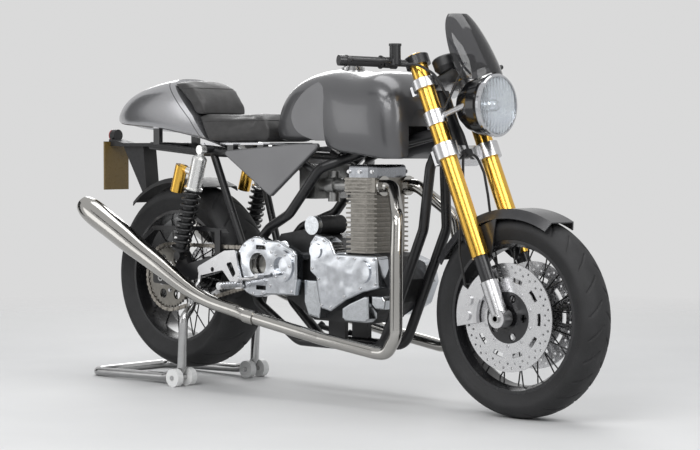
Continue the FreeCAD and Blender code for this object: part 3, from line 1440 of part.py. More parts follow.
def make_stand():
    """A rear stand: a floor loop on rollers with an upright and a pad under each arm."""
    floor = -amount("floor_depth")
    thick = amount("stand_tube_radius")
    half = amount("stand_half_width")
    pad_half = amount("stand_pad_half_width")
    roller = amount("stand_wheel_radius")
    axle_height = floor + roller
    arms = PIECES["swingarm"].Shape
    shapes = []
    for side in (-1, 1):
        y = side * half
        inner = side * pad_half
        shapes.append(tube([
            FreeCAD.Vector(-330, 0, floor + thick), FreeCAD.Vector(-330, y, floor + thick),
            FreeCAD.Vector(40, y, floor + thick + 10), FreeCAD.Vector(125, y, axle_height + 12),
            FreeCAD.Vector(136, y, -130), FreeCAD.Vector(136, inner, -92), FreeCAD.Vector(136, inner, 6),
        ], thick, 36))
        stub = FreeCAD.Vector(0, side * 46, 0)
        hub = FreeCAD.Vector(125, y, axle_height)
        shapes.append(rod(hub - stub, hub + stub, 8))
    solid = joined(shapes).cut(arms)
    solids = sorted(solid.Solids, key=lambda item: item.Volume)
    solid = solids[-1]
    rollers = []
    for side in (-1, 1):
        for shift in (-1, 1):
            start = FreeCAD.Vector(125, side * half + shift * 19, axle_height)
            wheel_solid = rod(start, start + FreeCAD.Vector(0, shift * 24, 0), roller)
            rollers.append(wheel_solid.cut(solid))
    keep(shape_piece("paddock_stand", solid), "paddock_stand")
    keep(shape_piece("stand_wheels", Part.makeCompound(rollers)), "stand_wheels")


def make_rear():
    keep(hollow_axle("rear_axle", "arm_inner + arm_width + 6"), "rear_axle")
    coils = []
    for side, word in ((-1, "right"), (1, "left")):
        damper, coil = shock(f"shock_{word}", side)
        keep(damper, f"shock_{word}")
        coils.append(coil)
    keep(shape_piece("springs", Part.makeCompound(coils)), "springs")
    make_rear_caliper()
    make_rear_guard()
    make_footrests()


def make_rear_caliper():
    """An underslung caliper on a plate that bolts to the left arm."""
    middle = amount("rear_disc_spacing")
    inner = middle - amount("caliper_inner_width") + 2
    lip = middle + amount("caliper_outer_width")
    gap = amount("caliper_gap") / 2
    outer = amount("rear_disc_radius")
    body = sector([(inner, 76), (lip, 76), (lip, outer + 18), (inner, outer + 18)], -78, -38)
    slot = turned([
        (middle - gap, 60), (middle + gap, 60), (middle + gap, outer + 5), (middle - gap, outer + 5),
    ])
    plate = sector([(lip, 80), (amount("arm_inner"), 80), (amount("arm_inner"), 112), (lip, 112)], -64, -4)
    keep(shape_piece("rear_caliper", joined([body.cut(slot), plate])), "rear_caliper")


def make_rear_guard():
    """The inner guard over the rear tyre with the plate bracket and the tail lamp."""
    inner = amount("rear_tyre_radius") + 18
    half = amount("rear_tyre_width") / 2 - 4
    arch = sector([
        (-half, inner - 14), (10 - half, inner), (half - 10, inner), (half, inner - 14),
        (half + 3, inner - 13), (half - 9, inner + 4), (9 - half, inner + 4), (-half - 3, inner - 13),
    ], 66, 132)
    tail = block(FreeCAD.Vector(-330, -46, 444), FreeCAD.Vector(-118, 46, 456))
    plate_x = -402
    strap = [
        (-226, 456), (-330, 456), (plate_x + 4, 470), (plate_x - 8, 470), (plate_x - 8, 290),
        (plate_x, 290), (plate_x, 446), (-330, 444), (-212, 256), (-204, 262),
    ]
    bracket = extruded(strap, -30, 30)
    plate = block(FreeCAD.Vector(plate_x - 8, -55, 290), FreeCAD.Vector(plate_x, 55, 462))
    frame = PIECES["frame"].Shape
    guard = joined([arch, bracket, tail, plate]).cut(frame)
    guard = largest(guard)
    keep(shape_piece("rear_guard", guard), "rear_guard")
    middle = FreeCAD.Vector(plate_x - 18, 0, 484)
    lamp = rod(middle, middle + FreeCAD.Vector(26, 0, 0), 21)
    lens = Part.makeSphere(26, middle + FreeCAD.Vector(14, 0, 0)).common(
        rod(middle - FreeCAD.Vector(14, 0, 0), middle + FreeCAD.Vector(4, 0, 0), 21))
    foot = block(FreeCAD.Vector(plate_x - 8, -10, 462), FreeCAD.Vector(plate_x + 4, 10, 484))
    keep(shape_piece("tail_lamp", joined([lamp, lens, foot]).cut(guard)), "tail_lamp")


def make_footrests():
    """Rear-set plates on the pivot spindle, with a peg, a pedal and the silencer's hanger."""
    outer = amount("arm_inner + arm_width") + 4
    pivot = FreeCAD.Vector(amount("pivot_x"), 0, amount("pivot_z"))
    for side, word in ((-1, "right"), (1, "left")):
        y = side * outer
        corners = [FreeCAD.Vector(x, y, z) for x, z in (
            (pivot.x - 26, pivot.z + 26), (pivot.x + 26, pivot.z + 30), (pivot.x + 36, pivot.z - 20),
            (406, -18), (370, -22), (310, 38), (196, 14), (190, 44))]
        plate = Part.Face(rounded_wire(corners, 9)).extrude(FreeCAD.Vector(0, side * 7, 0))
        window = [FreeCAD.Vector(x, y - side, z) for x, z in ((326, 62), (352, 66), (372, 30), (360, 14))]
        plate = plate.cut(Part.Face(rounded_wire(window, 6)).extrude(FreeCAD.Vector(0, side * 9, 0)))
        hole = FreeCAD.Vector(262, y - side, 38)
        plate = plate.cut(rod(hole, hole + FreeCAD.Vector(0, side * 10, 0), 8))
        shapes = [plate]
        peg = FreeCAD.Vector(388, y, -6)
        shapes.append(rod(peg, peg + FreeCAD.Vector(0, side * 100, 0), 9))
        for step in (30, 42, 54, 66, 78, 90):
            start = peg + FreeCAD.Vector(0, side * step, 0)
            shapes.append(rod(start, start + FreeCAD.Vector(0, side * 8, 0), 12))
        heel = FreeCAD.Vector(388, y + side * 12, 12)
        toe = FreeCAD.Vector(512, y + side * 22, 30)
        shapes.append(rod(FreeCAD.Vector(388, y, 12), heel + FreeCAD.Vector(0, side * 7, 0), 10))
        shapes.append(tube([heel, FreeCAD.Vector(450, y + side * 14, 16), toe], 6, 60))
        shapes.append(rod(toe, toe + FreeCAD.Vector(0, side * 30, 0), 8))
        hanger = FreeCAD.Vector(200, y + side * 3.5, 26)
        bend = FreeCAD.Vector(hanger.x, y + side * 8, -4)
        end = FreeCAD.Vector(hanger.x, side * 190, -36)
        shapes.append(tube([hanger, bend, end], 6, 20))
        rest = joined(shapes).cut(PIECES[f"silencer_{word}"].Shape)
        name = f"footrest_{word}"
        keep(shape_piece(name, largest(rest)), name)


def make_chain():
    """A loop of links round the rear sprocket and the gearbox sprocket."""
    tall = amount("chain_height")
    rear_radius = amount("sprocket_radius + chain_clearance") + tall / 2
    front_radius = amount("front_sprocket_radius + chain_clearance") + tall / 2
    front = FreeCAD.Vector(amount("front_sprocket_x"), 0, amount("front_sprocket_z"))
    run = front.Length
    heading = math.atan2(front.z, front.x)
    spread = math.acos((rear_radius - front_radius) / run)
    straight = run * math.sin(spread)
    rear_arc = 2 * rear_radius * (math.pi - spread)
    front_arc = 2 * front_radius * spread
    length = 2 * straight + rear_arc + front_arc
    links = round(length / amount("chain_pitch"))

    def point(along, out):
        """A point on the loop, moved outwards."""
        along %= length
        if along < rear_arc:
            angle = heading + spread + along / rear_radius
            return FreeCAD.Vector(math.cos(angle), 0, math.sin(angle)) * (rear_radius + out)
        along -= rear_arc
        if along < straight:
            normal = heading - spread
            start = FreeCAD.Vector(math.cos(normal), 0, math.sin(normal))
            ahead = FreeCAD.Vector(-math.sin(normal), 0, math.cos(normal))
            return start * (rear_radius + out) + ahead * along
        along -= straight
        if along < front_arc:
            angle = heading - spread + along / front_radius
            return front + FreeCAD.Vector(math.cos(angle), 0, math.sin(angle)) * (front_radius + out)
        along -= front_arc
        normal = heading + spread
        start = FreeCAD.Vector(math.cos(normal), 0, math.sin(normal))
        ahead = FreeCAD.Vector(-math.sin(normal), 0, math.cos(normal))
        return front + start * (front_radius + out) + ahead * along

    low = -amount("chain_line") - amount("chain_width") / 2
    faces = []
    for shares, sign in (((0, 0.25, 0.75), 1), ((0, 0.5), -1)):
        points = []
        for link in range(links):
            for share in shares:
                out = sign * (tall / 2 - (amount("chain_waist") if share == 0 else 0))
                points.append(point((link + share) * length / links, out) + FreeCAD.Vector(0, low, 0))
        faces.append(Part.Face(Part.makePolygon(points + points[:1])))
    band = faces[0].cut(faces[1]).extrude(FreeCAD.Vector(0, amount("chain_width"), 0))
    keep(shape_piece("drive_chain", Part.makeCompound(band.Solids)), "drive_chain")


def write_pieces():
    doc.recompute()
    faults = []
    for thing in doc.Objects:
        if "Invalid" in thing.State or "Error" in thing.State:
            faults.append(f"{thing.Label} {thing.State}")
    for label, thing in PIECES.items():
        if thing.Shape.isNull() or not thing.Shape.isValid() or thing.Shape.Volume <= 0:
            faults.append(f"{label} has no sound solid")
    if faults:
        raise RuntimeError("; ".join(faults))
    os.makedirs("parts", exist_ok=True)
    for label, thing in PIECES.items():
        thing.Shape.exportStep(f"parts/{label}.step")


make_wheels()
make_steering()
make_frame()
make_swingarm()
make_engine()
make_exhaust()
make_tank()
make_tail()
make_covers()
make_side_stand()
make_stand()
make_rear()
make_chain()
write_pieces()
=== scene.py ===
import math

import bmesh
import bpy
from bpy.props import FloatProperty, FloatVectorProperty, IntProperty, PointerProperty
from bpy.types import Operator, Panel, PropertyGroup
from mathutils import Matrix, Vector


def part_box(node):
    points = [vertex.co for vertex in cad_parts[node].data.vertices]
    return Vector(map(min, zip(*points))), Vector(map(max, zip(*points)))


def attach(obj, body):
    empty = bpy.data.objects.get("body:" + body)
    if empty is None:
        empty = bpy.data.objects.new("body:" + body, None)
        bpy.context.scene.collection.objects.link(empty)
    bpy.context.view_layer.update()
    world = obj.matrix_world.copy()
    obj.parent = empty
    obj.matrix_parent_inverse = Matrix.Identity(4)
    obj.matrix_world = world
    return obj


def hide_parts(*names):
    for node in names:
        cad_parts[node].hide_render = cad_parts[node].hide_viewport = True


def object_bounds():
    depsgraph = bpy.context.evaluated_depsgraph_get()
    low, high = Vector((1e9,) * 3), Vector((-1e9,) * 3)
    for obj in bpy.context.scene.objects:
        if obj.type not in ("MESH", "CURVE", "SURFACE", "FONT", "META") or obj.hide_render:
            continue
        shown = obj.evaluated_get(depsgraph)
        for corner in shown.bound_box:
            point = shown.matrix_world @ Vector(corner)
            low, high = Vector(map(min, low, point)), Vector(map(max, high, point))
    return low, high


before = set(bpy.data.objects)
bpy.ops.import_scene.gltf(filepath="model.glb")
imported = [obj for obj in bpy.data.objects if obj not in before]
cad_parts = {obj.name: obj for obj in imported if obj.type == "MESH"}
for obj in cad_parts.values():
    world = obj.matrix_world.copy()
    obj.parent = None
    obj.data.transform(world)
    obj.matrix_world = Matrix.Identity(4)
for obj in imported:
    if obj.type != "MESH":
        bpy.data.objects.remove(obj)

CAD_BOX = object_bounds()
FLOOR_HEIGHT = CAD_BOX[0][2]
FRONT_AXLE = Vector((1.419, 0, -0.058))
RAKE = math.radians(23)
FORK_TURN = Matrix.Rotation(-RAKE, 4, "Y")
MM = 0.001
X_AXIS = Vector((1, 0, 0))
Y_AXIS = Vector((0, 1, 0))
Z_AXIS = Vector((0, 0, 1))
RIGHT = -1
LEFT = 1

bl_info = {
    "name": "Cafe racer",
    "version": (1, 0, 0),
    "blender": (4, 5, 0),
    "location": "View3D > Sidebar > Motorcycle",
    "description": "Finishes and soft pieces for a cafe racer on a paddock stand",
    "category": "Object",
}


# Sizes and colours

class MotorcycleFinishes(PropertyGroup):
    tank_colour: FloatVectorProperty(
        name="Tank", description="Grey metallic of the tank and side covers", subtype="COLOR",
        size=3, min=0, max=1, default=(0.115, 0.115, 0.12))
    hump_colour: FloatVectorProperty(
        name="Hump", description="Paler metallic of the seat hump", subtype="COLOR",
        size=3, min=0, max=1, default=(0.42, 0.42, 0.435))
    frame_colour: FloatVectorProperty(
        name="Frame", description="Satin black of the frame and swingarm", subtype="COLOR",
        size=3, min=0, max=1, default=(0.008, 0.008, 0.009))
    gold_colour: FloatVectorProperty(
        name="Gold", description="Anodising of the fork tubes and damper reservoirs", subtype="COLOR",
        size=3, min=0, max=1, default=(0.78, 0.47, 0.09))
    leather_colour: FloatVectorProperty(
        name="Leather", description="Dark leather of the saddle and back pad", subtype="COLOR",
        size=3, min=0, max=1, default=(0.026, 0.025, 0.025))


class MotorcyclePadding(PropertyGroup):
    seat_swell: FloatProperty(
        name="Swell", description="How far the filling may push its cover out",
        subtype="DISTANCE", unit="LENGTH", min=0, default=0.008)
    voxel: FloatProperty(
        name="Voxel", description="Grain of the pads' mesh before they are filled",
        subtype="DISTANCE", unit="LENGTH", min=0.002, default=0.005)
    pressure: FloatProperty(
        name="Pressure", description="Pressure of the filling", min=0, default=4)


class MotorcycleTyres(PropertyGroup):
    front_grooves: IntProperty(
        name="Front grooves", description="Grooves on each side of the front tyre", min=1, default=26)
    rear_grooves: IntProperty(
        name="Rear grooves", description="Grooves on each side of the rear tyre", min=1, default=22)
    groove_width: FloatProperty(
        name="Groove width", description="Width of a tread groove", subtype="DISTANCE",
        unit="LENGTH", min=0, default=0.006)
    groove_depth: FloatProperty(
        name="Groove depth", description="Depth of a tread groove", subtype="DISTANCE",
        unit="LENGTH", min=0, default=0.0038)


class MotorcycleStage(PropertyGroup):
    floor_tone: FloatProperty(
        name="Floor tone", description="Grey level of the floor", subtype="FACTOR",
        min=0, max=1, default=0.64)
    background_tone: FloatProperty(
        name="Background tone", description="Grey level that the camera sees behind", subtype="FACTOR",
        min=0, max=1, default=0.70)
    key_power: FloatProperty(
        name="Key power", description="Power of the main soft lamp", unit="POWER", min=0, default=150)
    camera_lens: FloatProperty(
        name="Lens", description="Focal length on a 36 mm sensor", unit="CAMERA", min=1, default=96.97)
    camera_azimuth: FloatProperty(
        name="Azimuth", description="Turn of the camera from the right side to the front", subtype="ANGLE",
        default=math.radians(42.606))
    camera_elevation: FloatProperty(
        name="Elevation", description="Height angle of the camera", subtype="ANGLE",
        default=math.radians(2.251))
    camera_distance: FloatProperty(
        name="Distance", description="Distance from the camera to its target", unit="LENGTH",
        min=0.1, default=6.0038)


# Material building blocks

GRAIN_START = 0.3
GRAIN_END = 0.7
PLANE_SOFTNESS = 0.0004
FINE_RELIEF = 0.0003
SOCKET_TYPES = {"FLOAT": "VALUE", "RGBA": "RGBA"}


def new_material(name):
    """A material with its tree and its shader."""
    material = bpy.data.materials.new(name)
    material.use_nodes = True
    tree = material.node_tree
    return material, tree, tree.nodes["Principled BSDF"]


def own_place(tree):
    """A point of the surface in the object's own metres."""
    return tree.nodes.new("ShaderNodeTexCoord").outputs["Object"]


def grain(tree, scale, detail=3.0):
    """Noise in the object's own metres."""
    noise = tree.nodes.new("ShaderNodeTexNoise")
    noise.inputs["Scale"].default_value = scale
    noise.inputs["Detail"].default_value = detail
    tree.links.new(own_place(tree), noise.inputs["Vector"])
    return noise.outputs["Fac"]


def spread(tree, value, low, high, start=GRAIN_START, end=GRAIN_END):
    """A value stretched between two limits."""
    mapped = tree.nodes.new("ShaderNodeMapRange")
    for word, number in (("From Min", start), ("From Max", end), ("To Min", low), ("To Max", high)):
        mapped.inputs[word].default_value = number
    tree.links.new(value, mapped.inputs["Value"])
    return mapped.outputs["Result"]


def combined(tree, operation, first, second):
    """Two values taken together by an operation."""
    node = tree.nodes.new("ShaderNodeMath")
    node.operation = operation
    tree.links.new(first, node.inputs[0])
    tree.links.new(second, node.inputs[1])
    return node.outputs["Value"]


def mixed(tree, share, first, second, kind="FLOAT"):
    """The first value where the share is nothing, the second where it is one."""
    mix = tree.nodes.new("ShaderNodeMix")
    mix.data_type = kind
    wanted = SOCKET_TYPES[kind]
    for value, name, socket_type in ((share, "Factor", "VALUE"), (first, "A", wanted), (second, "B", wanted)):
        sockets = [item for item in mix.inputs if item.name == name and item.type == socket_type]
        tree.links.new(value, sockets[0])
    return [item for item in mix.outputs if item.type == wanted][0]


def tone_ramp(tree, colour, value, share):
    """A colour that varies a little with a value."""
    ramp = tree.nodes.new("ShaderNodeValToRGB")
    dark, pale = ramp.color_ramp.elements
    dark.position = GRAIN_START
    pale.position = GRAIN_END
    dark.color = (*[part * (1 - share) for part in colour], 1)
    pale.color = (*[min(1, part * (1 + share)) for part in colour], 1)
    tree.links.new(value, ramp.inputs["Fac"])
    return ramp.outputs["Color"]


def mottle(tree, shader, colour, value, share):
    """A base colour that varies a little with a value."""
    tree.links.new(tone_ramp(tree, colour, value, share), shader.inputs["Base Color"])


def uneven_gloss(tree, shader, value, low, high):
    """A roughness that varies between two limits with a value."""
    tree.links.new(spread(tree, value, low, high), shader.inputs["Roughness"])


def relief(tree, shader, value, strength, distance):
    """Bumps by a height value."""
    bump = tree.nodes.new("ShaderNodeBump")
    bump.inputs["Strength"].default_value = strength
    bump.inputs["Distance"].default_value = distance
    tree.links.new(value, bump.inputs["Height"])
    tree.links.new(bump.outputs["Normal"], shader.inputs["Normal"])


def clear_coat(shader):
    """A thin gloss coat over a paint."""
    shader.inputs["Coat Weight"].default_value = 0.6
    shader.inputs["Coat Roughness"].default_value = 0.08


def past_plane(tree, normal, distance):
    """One past a plane through the object, nothing before it."""
    dot = tree.nodes.new("ShaderNodeVectorMath")
    dot.operation = "DOT_PRODUCT"
    dot.inputs[1].default_value = normal
    tree.links.new(own_place(tree), dot.inputs[0])
    return spread(tree, dot.outputs["Value"], 0, 1, distance - PLANE_SOFTNESS, distance + PLANE_SOFTNESS)


def painted_edge_highlight(tree, colour, shader, edge_colour):
    """Paler convex edges: a painted highlight along the edges."""
    pointiness = tree.nodes.new("ShaderNodeNewGeometry").outputs["Pointiness"]
    share = spread(tree, pointiness, low=0, high=0.5, start=0.52, end=0.62)
    edge = tree.nodes.new("ShaderNodeRGB").outputs["Color"]
    edge.default_value = (*edge_colour, 1)
    tree.links.new(mixed(tree, share, colour, edge, "RGBA"), shader.inputs["Base Color"])


def metal(name, colour, rough_low, rough_high, scale=60, share=0.12, bump=0.05):
    """Bare or anodised metal with a fine grain."""
    gloss_scale = scale * 0.4
    material, tree, shader = new_material(name)
    shader.inputs["Metallic"].default_value = 1.0
    fine = grain(tree, scale)
    mottle(tree, shader, colour, fine, share)
    uneven_gloss(tree, shader, grain(tree, gloss_scale), rough_low, rough_high)
    relief(tree, shader, fine, bump, distance=0.0004)
    return material


def polished_casting(name, colour):
    """Hand-polished aluminium, wavy where the casting was uneven, with large blotches of paler and darker
    tone painted as patches of reflection.
    """
    material, tree, shader = new_material(name)
    shader.inputs["Metallic"].default_value = 1.0
    # Large paler and darker blotches of colour: painted patches of reflected light.
    mottle(tree, shader, colour, grain(tree, scale=16, detail=2), share=0.16)
    uneven_gloss(tree, shader, grain(tree, scale=60), low=0.09, high=0.19)
    relief(tree, shader, grain(tree, scale=13, detail=1), strength=0.35, distance=0.012)
    return material


def lacquer(name, colour):
    """Metallic paint under a clear coat."""
    material, tree, shader = new_material(name)
    shader.inputs["Metallic"].default_value = 0.6
    mottle(tree, shader, colour, grain(tree, scale=2600, detail=1), share=0.18)
    uneven_gloss(tree, shader, grain(tree, scale=9), low=0.28, high=0.34)
    clear_coat(shader)
    relief(tree, shader, grain(tree, scale=420, detail=1), strength=0.02, distance=0.0002)
    return material


def satin(name, colour, rough_low, rough_high):
    """Powder coat or moulded plastic, its edges a little paler by a painted highlight."""
    material, tree, shader = new_material(name)
    fine = grain(tree, scale=300)
    # The paler edge colour is a painted highlight along convex edges.
    highlight_colour = [min(1, part * 2.2 + 0.01) for part in colour]
    painted_edge_highlight(tree, tone_ramp(tree, colour, fine, share=0.15), shader, highlight_colour)
    uneven_gloss(tree, shader, grain(tree, scale=24), rough_low, rough_high)
    relief(tree, shader, fine, strength=0.08, distance=FINE_RELIEF)
    return material


def rubber(name, colour=(0.014, 0.014, 0.015)):
    """Dull rubber with faint clouds."""
    material, tree, shader = new_material(name)
    fine = grain(tree, scale=500)
    mottle(tree, shader, colour, grain(tree, scale=14), share=0.3)
    uneven_gloss(tree, shader, fine, low=0.55, high=0.8)
    relief(tree, shader, fine, strength=0.15, distance=FINE_RELIEF)
    return material


def leather(name, colour):
    """Grained leather with a soft sheen."""
    material, tree, shader = new_material(name)
    cells = tree.nodes.new("ShaderNodeTexVoronoi")
    cells.feature = "DISTANCE_TO_EDGE"
    cells.inputs["Scale"].default_value = 460
    tree.links.new(own_place(tree), cells.inputs["Vector"])
    mottle(tree, shader, colour, grain(tree, scale=30), share=0.3)
    uneven_gloss(tree, shader, grain(tree, scale=40), low=0.40, high=0.56)
    shader.inputs["Sheen Weight"].default_value = 0.15
    relief(tree, shader, cells.outputs["Distance"], strength=0.4, distance=0.0006)
    return material


def clear(name, colour, weight=1.0, rough_low=0.02, rough_high=0.04):
    """Glass or clear plastic, tinted by its colour."""
    material, tree, shader = new_material(name)
    shader.inputs["Transmission Weight"].default_value = weight
    shader.inputs["IOR"].default_value = 1.45
    mottle(tree, shader, colour, grain(tree, scale=30), share=0.03)
    uneven_gloss(tree, shader, grain(tree, scale=40), rough_low, rough_high)
    return material


def fluted_glass(name):
    """Lamp glass with moulded upright prisms."""
    material = clear(name, (0.93, 0.96, 1.0), weight=0.92, rough_low=0.02, rough_high=0.05)
    tree = material.node_tree
    ribs = tree.nodes.new("ShaderNodeTexWave")
    ribs.bands_direction = "Y"
    ribs.inputs["Scale"].default_value = 22
    tree.links.new(own_place(tree), ribs.inputs["Vector"])
    relief(tree, tree.nodes["Principled BSDF"], ribs.outputs["Fac"], strength=0.5, distance=0.0012)
    return material


def layered(name, base, *layers, bump=0.06, scale=240):
    """One material of several finishes, each layer past every plane of its own rules.

    A finish is its colour, how metallic it is and its two roughness limits."""
    base_colour, base_metallic, base_low, base_high = base
    coarse_scale = scale * 0.3
    material, tree, shader = new_material(name)
    fine = grain(tree, scale)
    coarse = grain(tree, coarse_scale)
    colour = tone_ramp(tree, base_colour, fine, share=0.15)
    part_metal = any(finish[1] != base_metallic for finish, planes in layers)
    shader.inputs["Metallic"].default_value = base_metallic
    if part_metal:
        metallic = spread(tree, coarse, base_metallic, base_metallic)
    gloss = spread(tree, coarse, base_low, base_high)
    for (layer_colour, layer_metallic, low, high), planes in layers:
        mask = None
        for normal, distance in planes:
            share = past_plane(tree, normal, distance)
            mask = share if mask is None else combined(tree, "MULTIPLY", mask, share)
        colour = mixed(tree, mask, colour, tone_ramp(tree, layer_colour, fine, share=0.10), "RGBA")
        if part_metal:
            metallic = mixed(tree, mask, metallic, spread(tree, coarse, layer_metallic, layer_metallic))
        gloss = mixed(tree, mask, gloss, spread(tree, coarse, low, high))
    tree.links.new(colour, shader.inputs["Base Color"])
    if part_metal:
        tree.links.new(metallic, shader.inputs["Metallic"])
    tree.links.new(gloss, shader.inputs["Roughness"])
    relief(tree, shader, fine, bump, FINE_RELIEF)
    return material


def dress(material, *names):
    """Gives CAD nodes a finish."""
    for name in names:
        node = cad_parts.get(name)
        if node is None:
            raise RuntimeError(f"no node {name}")
        for slot in node.material_slots:
            slot.material = material


def finishes():
    """The colours that a user may change."""
    return bpy.context.scene.motorcycle_finishes


# Mesh building blocks

SCREW_STEPS = 12
SCREW_PROFILE = ((1, 0), (1, 0.7), (0.86, 1), (0.5, 1), (0.5, 0.35))
WASHER_REACH = 1.2
WASHER_TOP = 0.2
WASHER_STEPS = 20
CHAMFER_DEPTH = 0.08
CHAMFER_REACH = 0.93


def linked(name, data):
    """A new object in the scene."""
    piece = bpy.data.objects.new(name, data)
    bpy.context.collection.objects.link(piece)
    return piece


def made_object(name, shape, body, material, smooth=False):
    """Puts a bmesh shape in the scene on its body, with its finish."""
    piece = linked(name, finished_mesh(name, shape, smooth))
    piece.data.materials.append(material)
    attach(piece, body)
    return piece


def finished_mesh(name, shape, smooth=False):
    """The mesh of a bmesh shape, with its normals outwards."""
    bmesh.ops.recalc_face_normals(shape, faces=shape.faces)
    mesh = bpy.data.meshes.new(name)
    for face in shape.faces:
        face.smooth = smooth
    shape.to_mesh(mesh)
    shape.free()
    return mesh


def turn_to(axis):
    """The turn that brings Z to an axis."""
    return Vector(axis).to_track_quat("Z", "Y").to_matrix().to_4x4()


def fork_place(ahead, side, up):
    """A point given in the fork's own frame, in metres."""
    return FRONT_AXLE + FORK_TURN @ Vector((ahead, side, up))


def round_row(place, reach, steps, across=X_AXIS, up=Y_AXIS):
    """Points round a place, in the plane of two directions."""
    turns = [math.tau * step / steps for step in range(steps)]
    return [place + across * (reach * math.cos(turn)) + up * (reach * math.sin(turn)) for turn in turns]


def turned_rows(base, steps, profile):
    """Rings of points round the Z axis of a base, each by its reach and its height."""
    return [[base @ point for point in round_row(Z_AXIS * height, reach, steps)] for reach, height in profile]


def ring_grid(shape, rows, closed_rows=False):
    """Faces between rings of points, each ring closed."""
    rings = [[shape.verts.new(point) for point in row] for row in rows]
    pairs = list(zip(rings, rings[1:]))
    if closed_rows:
        pairs.append((rings[-1], rings[0]))
    for one, other in pairs:
        count = len(one)
        for index in range(count):
            following = (index + 1) % count
            shape.faces.new((one[index], one[following], other[following], other[index]))
    return rings


def capped(shape, rows, first=True):
    """Rings of points with a face across the last ring, and across the first one as well."""
    rings = ring_grid(shape, rows)
    shape.faces.new(rings[-1])
    if first:
        shape.faces.new(list(reversed(rings[0])))


def socket_head(shape, place, axis, radius, height):
    """A round screw head with a rounded rim and a round socket."""
    base = Matrix.Translation(place) @ turn_to(axis)
    profile = [(radius * reach, height * up) for reach, up in SCREW_PROFILE]
    capped(shape, turned_rows(base, SCREW_STEPS, profile))


def hex_nut(shape, place, axis, radius, height):
    """A six-sided head on a thin washer."""
    base = Matrix.Translation(place) @ turn_to(axis)
    washer_top = height * WASHER_TOP
    chamfer = height * CHAMFER_DEPTH
    washer = (radius * WASHER_REACH, 0, washer_top, WASHER_STEPS)
    head = (radius, washer_top, height, 6)
    for reach, low, high, steps in (washer, head):
        profile = ((reach, low), (reach, high - chamfer), (reach * CHAMFER_REACH, high))
        capped(shape, turned_rows(base, steps, profile))


# Paintwork, whose planes are a direction and a distance along it

UPPER_GROOVE_TILT = (-0.690, 0, -0.724)
LOWER_GROOVE_TILT = (-0.817, 0, -0.576)
# The thin dark stripe on the hump between these planes is painted shade, standing for a groove that the mesh
# doesn't have.
GROOVE_START = [(UPPER_GROOVE_TILT, -0.4637), (LOWER_GROOVE_TILT, -0.3981)]
GROOVE_END = [(UPPER_GROOVE_TILT, -0.4607), (LOWER_GROOVE_TILT, -0.3951)]
RAILS = [(-Z_AXIS, -0.4478)]
POSTS = [(-Z_AXIS, -0.5055), (-X_AXIS, 0.060), (X_AXIS, -0.100)]
BEZEL = [(X_AXIS, 1.3195)]


class MOTORCYCLE_OT_paintwork(Operator):
    """Paint the tank, hump, side covers and frame"""
    bl_idname = "motorcycle.paintwork"
    bl_label = "Paintwork"

    def execute(self, context):
        tones = finishes()
        grey = lacquer("Tank_grey", tones.tank_colour)
        dress(grey, "fuel_tank", "side_cover_right", "side_cover_left")
        silver = (tones.hump_colour, 0.85, 0.20, 0.27)
        post_black = (tones.frame_colour, 0.0, 0.3, 0.45)
        groove_painted_shade = (tones.frame_colour, 0.0, 0.5, 0.6)
        # The dark layer between the two silver layers is a stripe of painted groove shade.
        hump = layered("Hump_silver", silver, (groove_painted_shade, GROOVE_START), (silver, GROOVE_END),
                       (post_black, RAILS), (post_black, POSTS), bump=0.01, scale=1500)
        clear_coat(hump.node_tree.nodes["Principled BSDF"])
        dress(hump, "tail_cowl")
        dress(satin("Frame_satin_black", tones.frame_colour, 0.25, 0.4),
              "frame", "swingarm", "side_stand")
        shell = ((0.008, 0.008, 0.009), 0.0, 0.10, 0.18)
        bezel = ((0.55, 0.56, 0.58), 1.0, 0.06, 0.12)
        dress(layered("Lamp_black_and_chrome", shell, (bezel, BEZEL), bump=0.02), "headlamp")
        return {"FINISHED"}


# Metalwork

CASE_SIDE = [(-Y_AXIS, 0.0758)]
ROCKER_COVER = [(Z_AXIS, 0.3455)]
DAMPER_BODY = [((0.302, 0, 0.953), 0.3395)]
RESERVOIR = [((-0.953, 0, 0.302), -0.0267)]


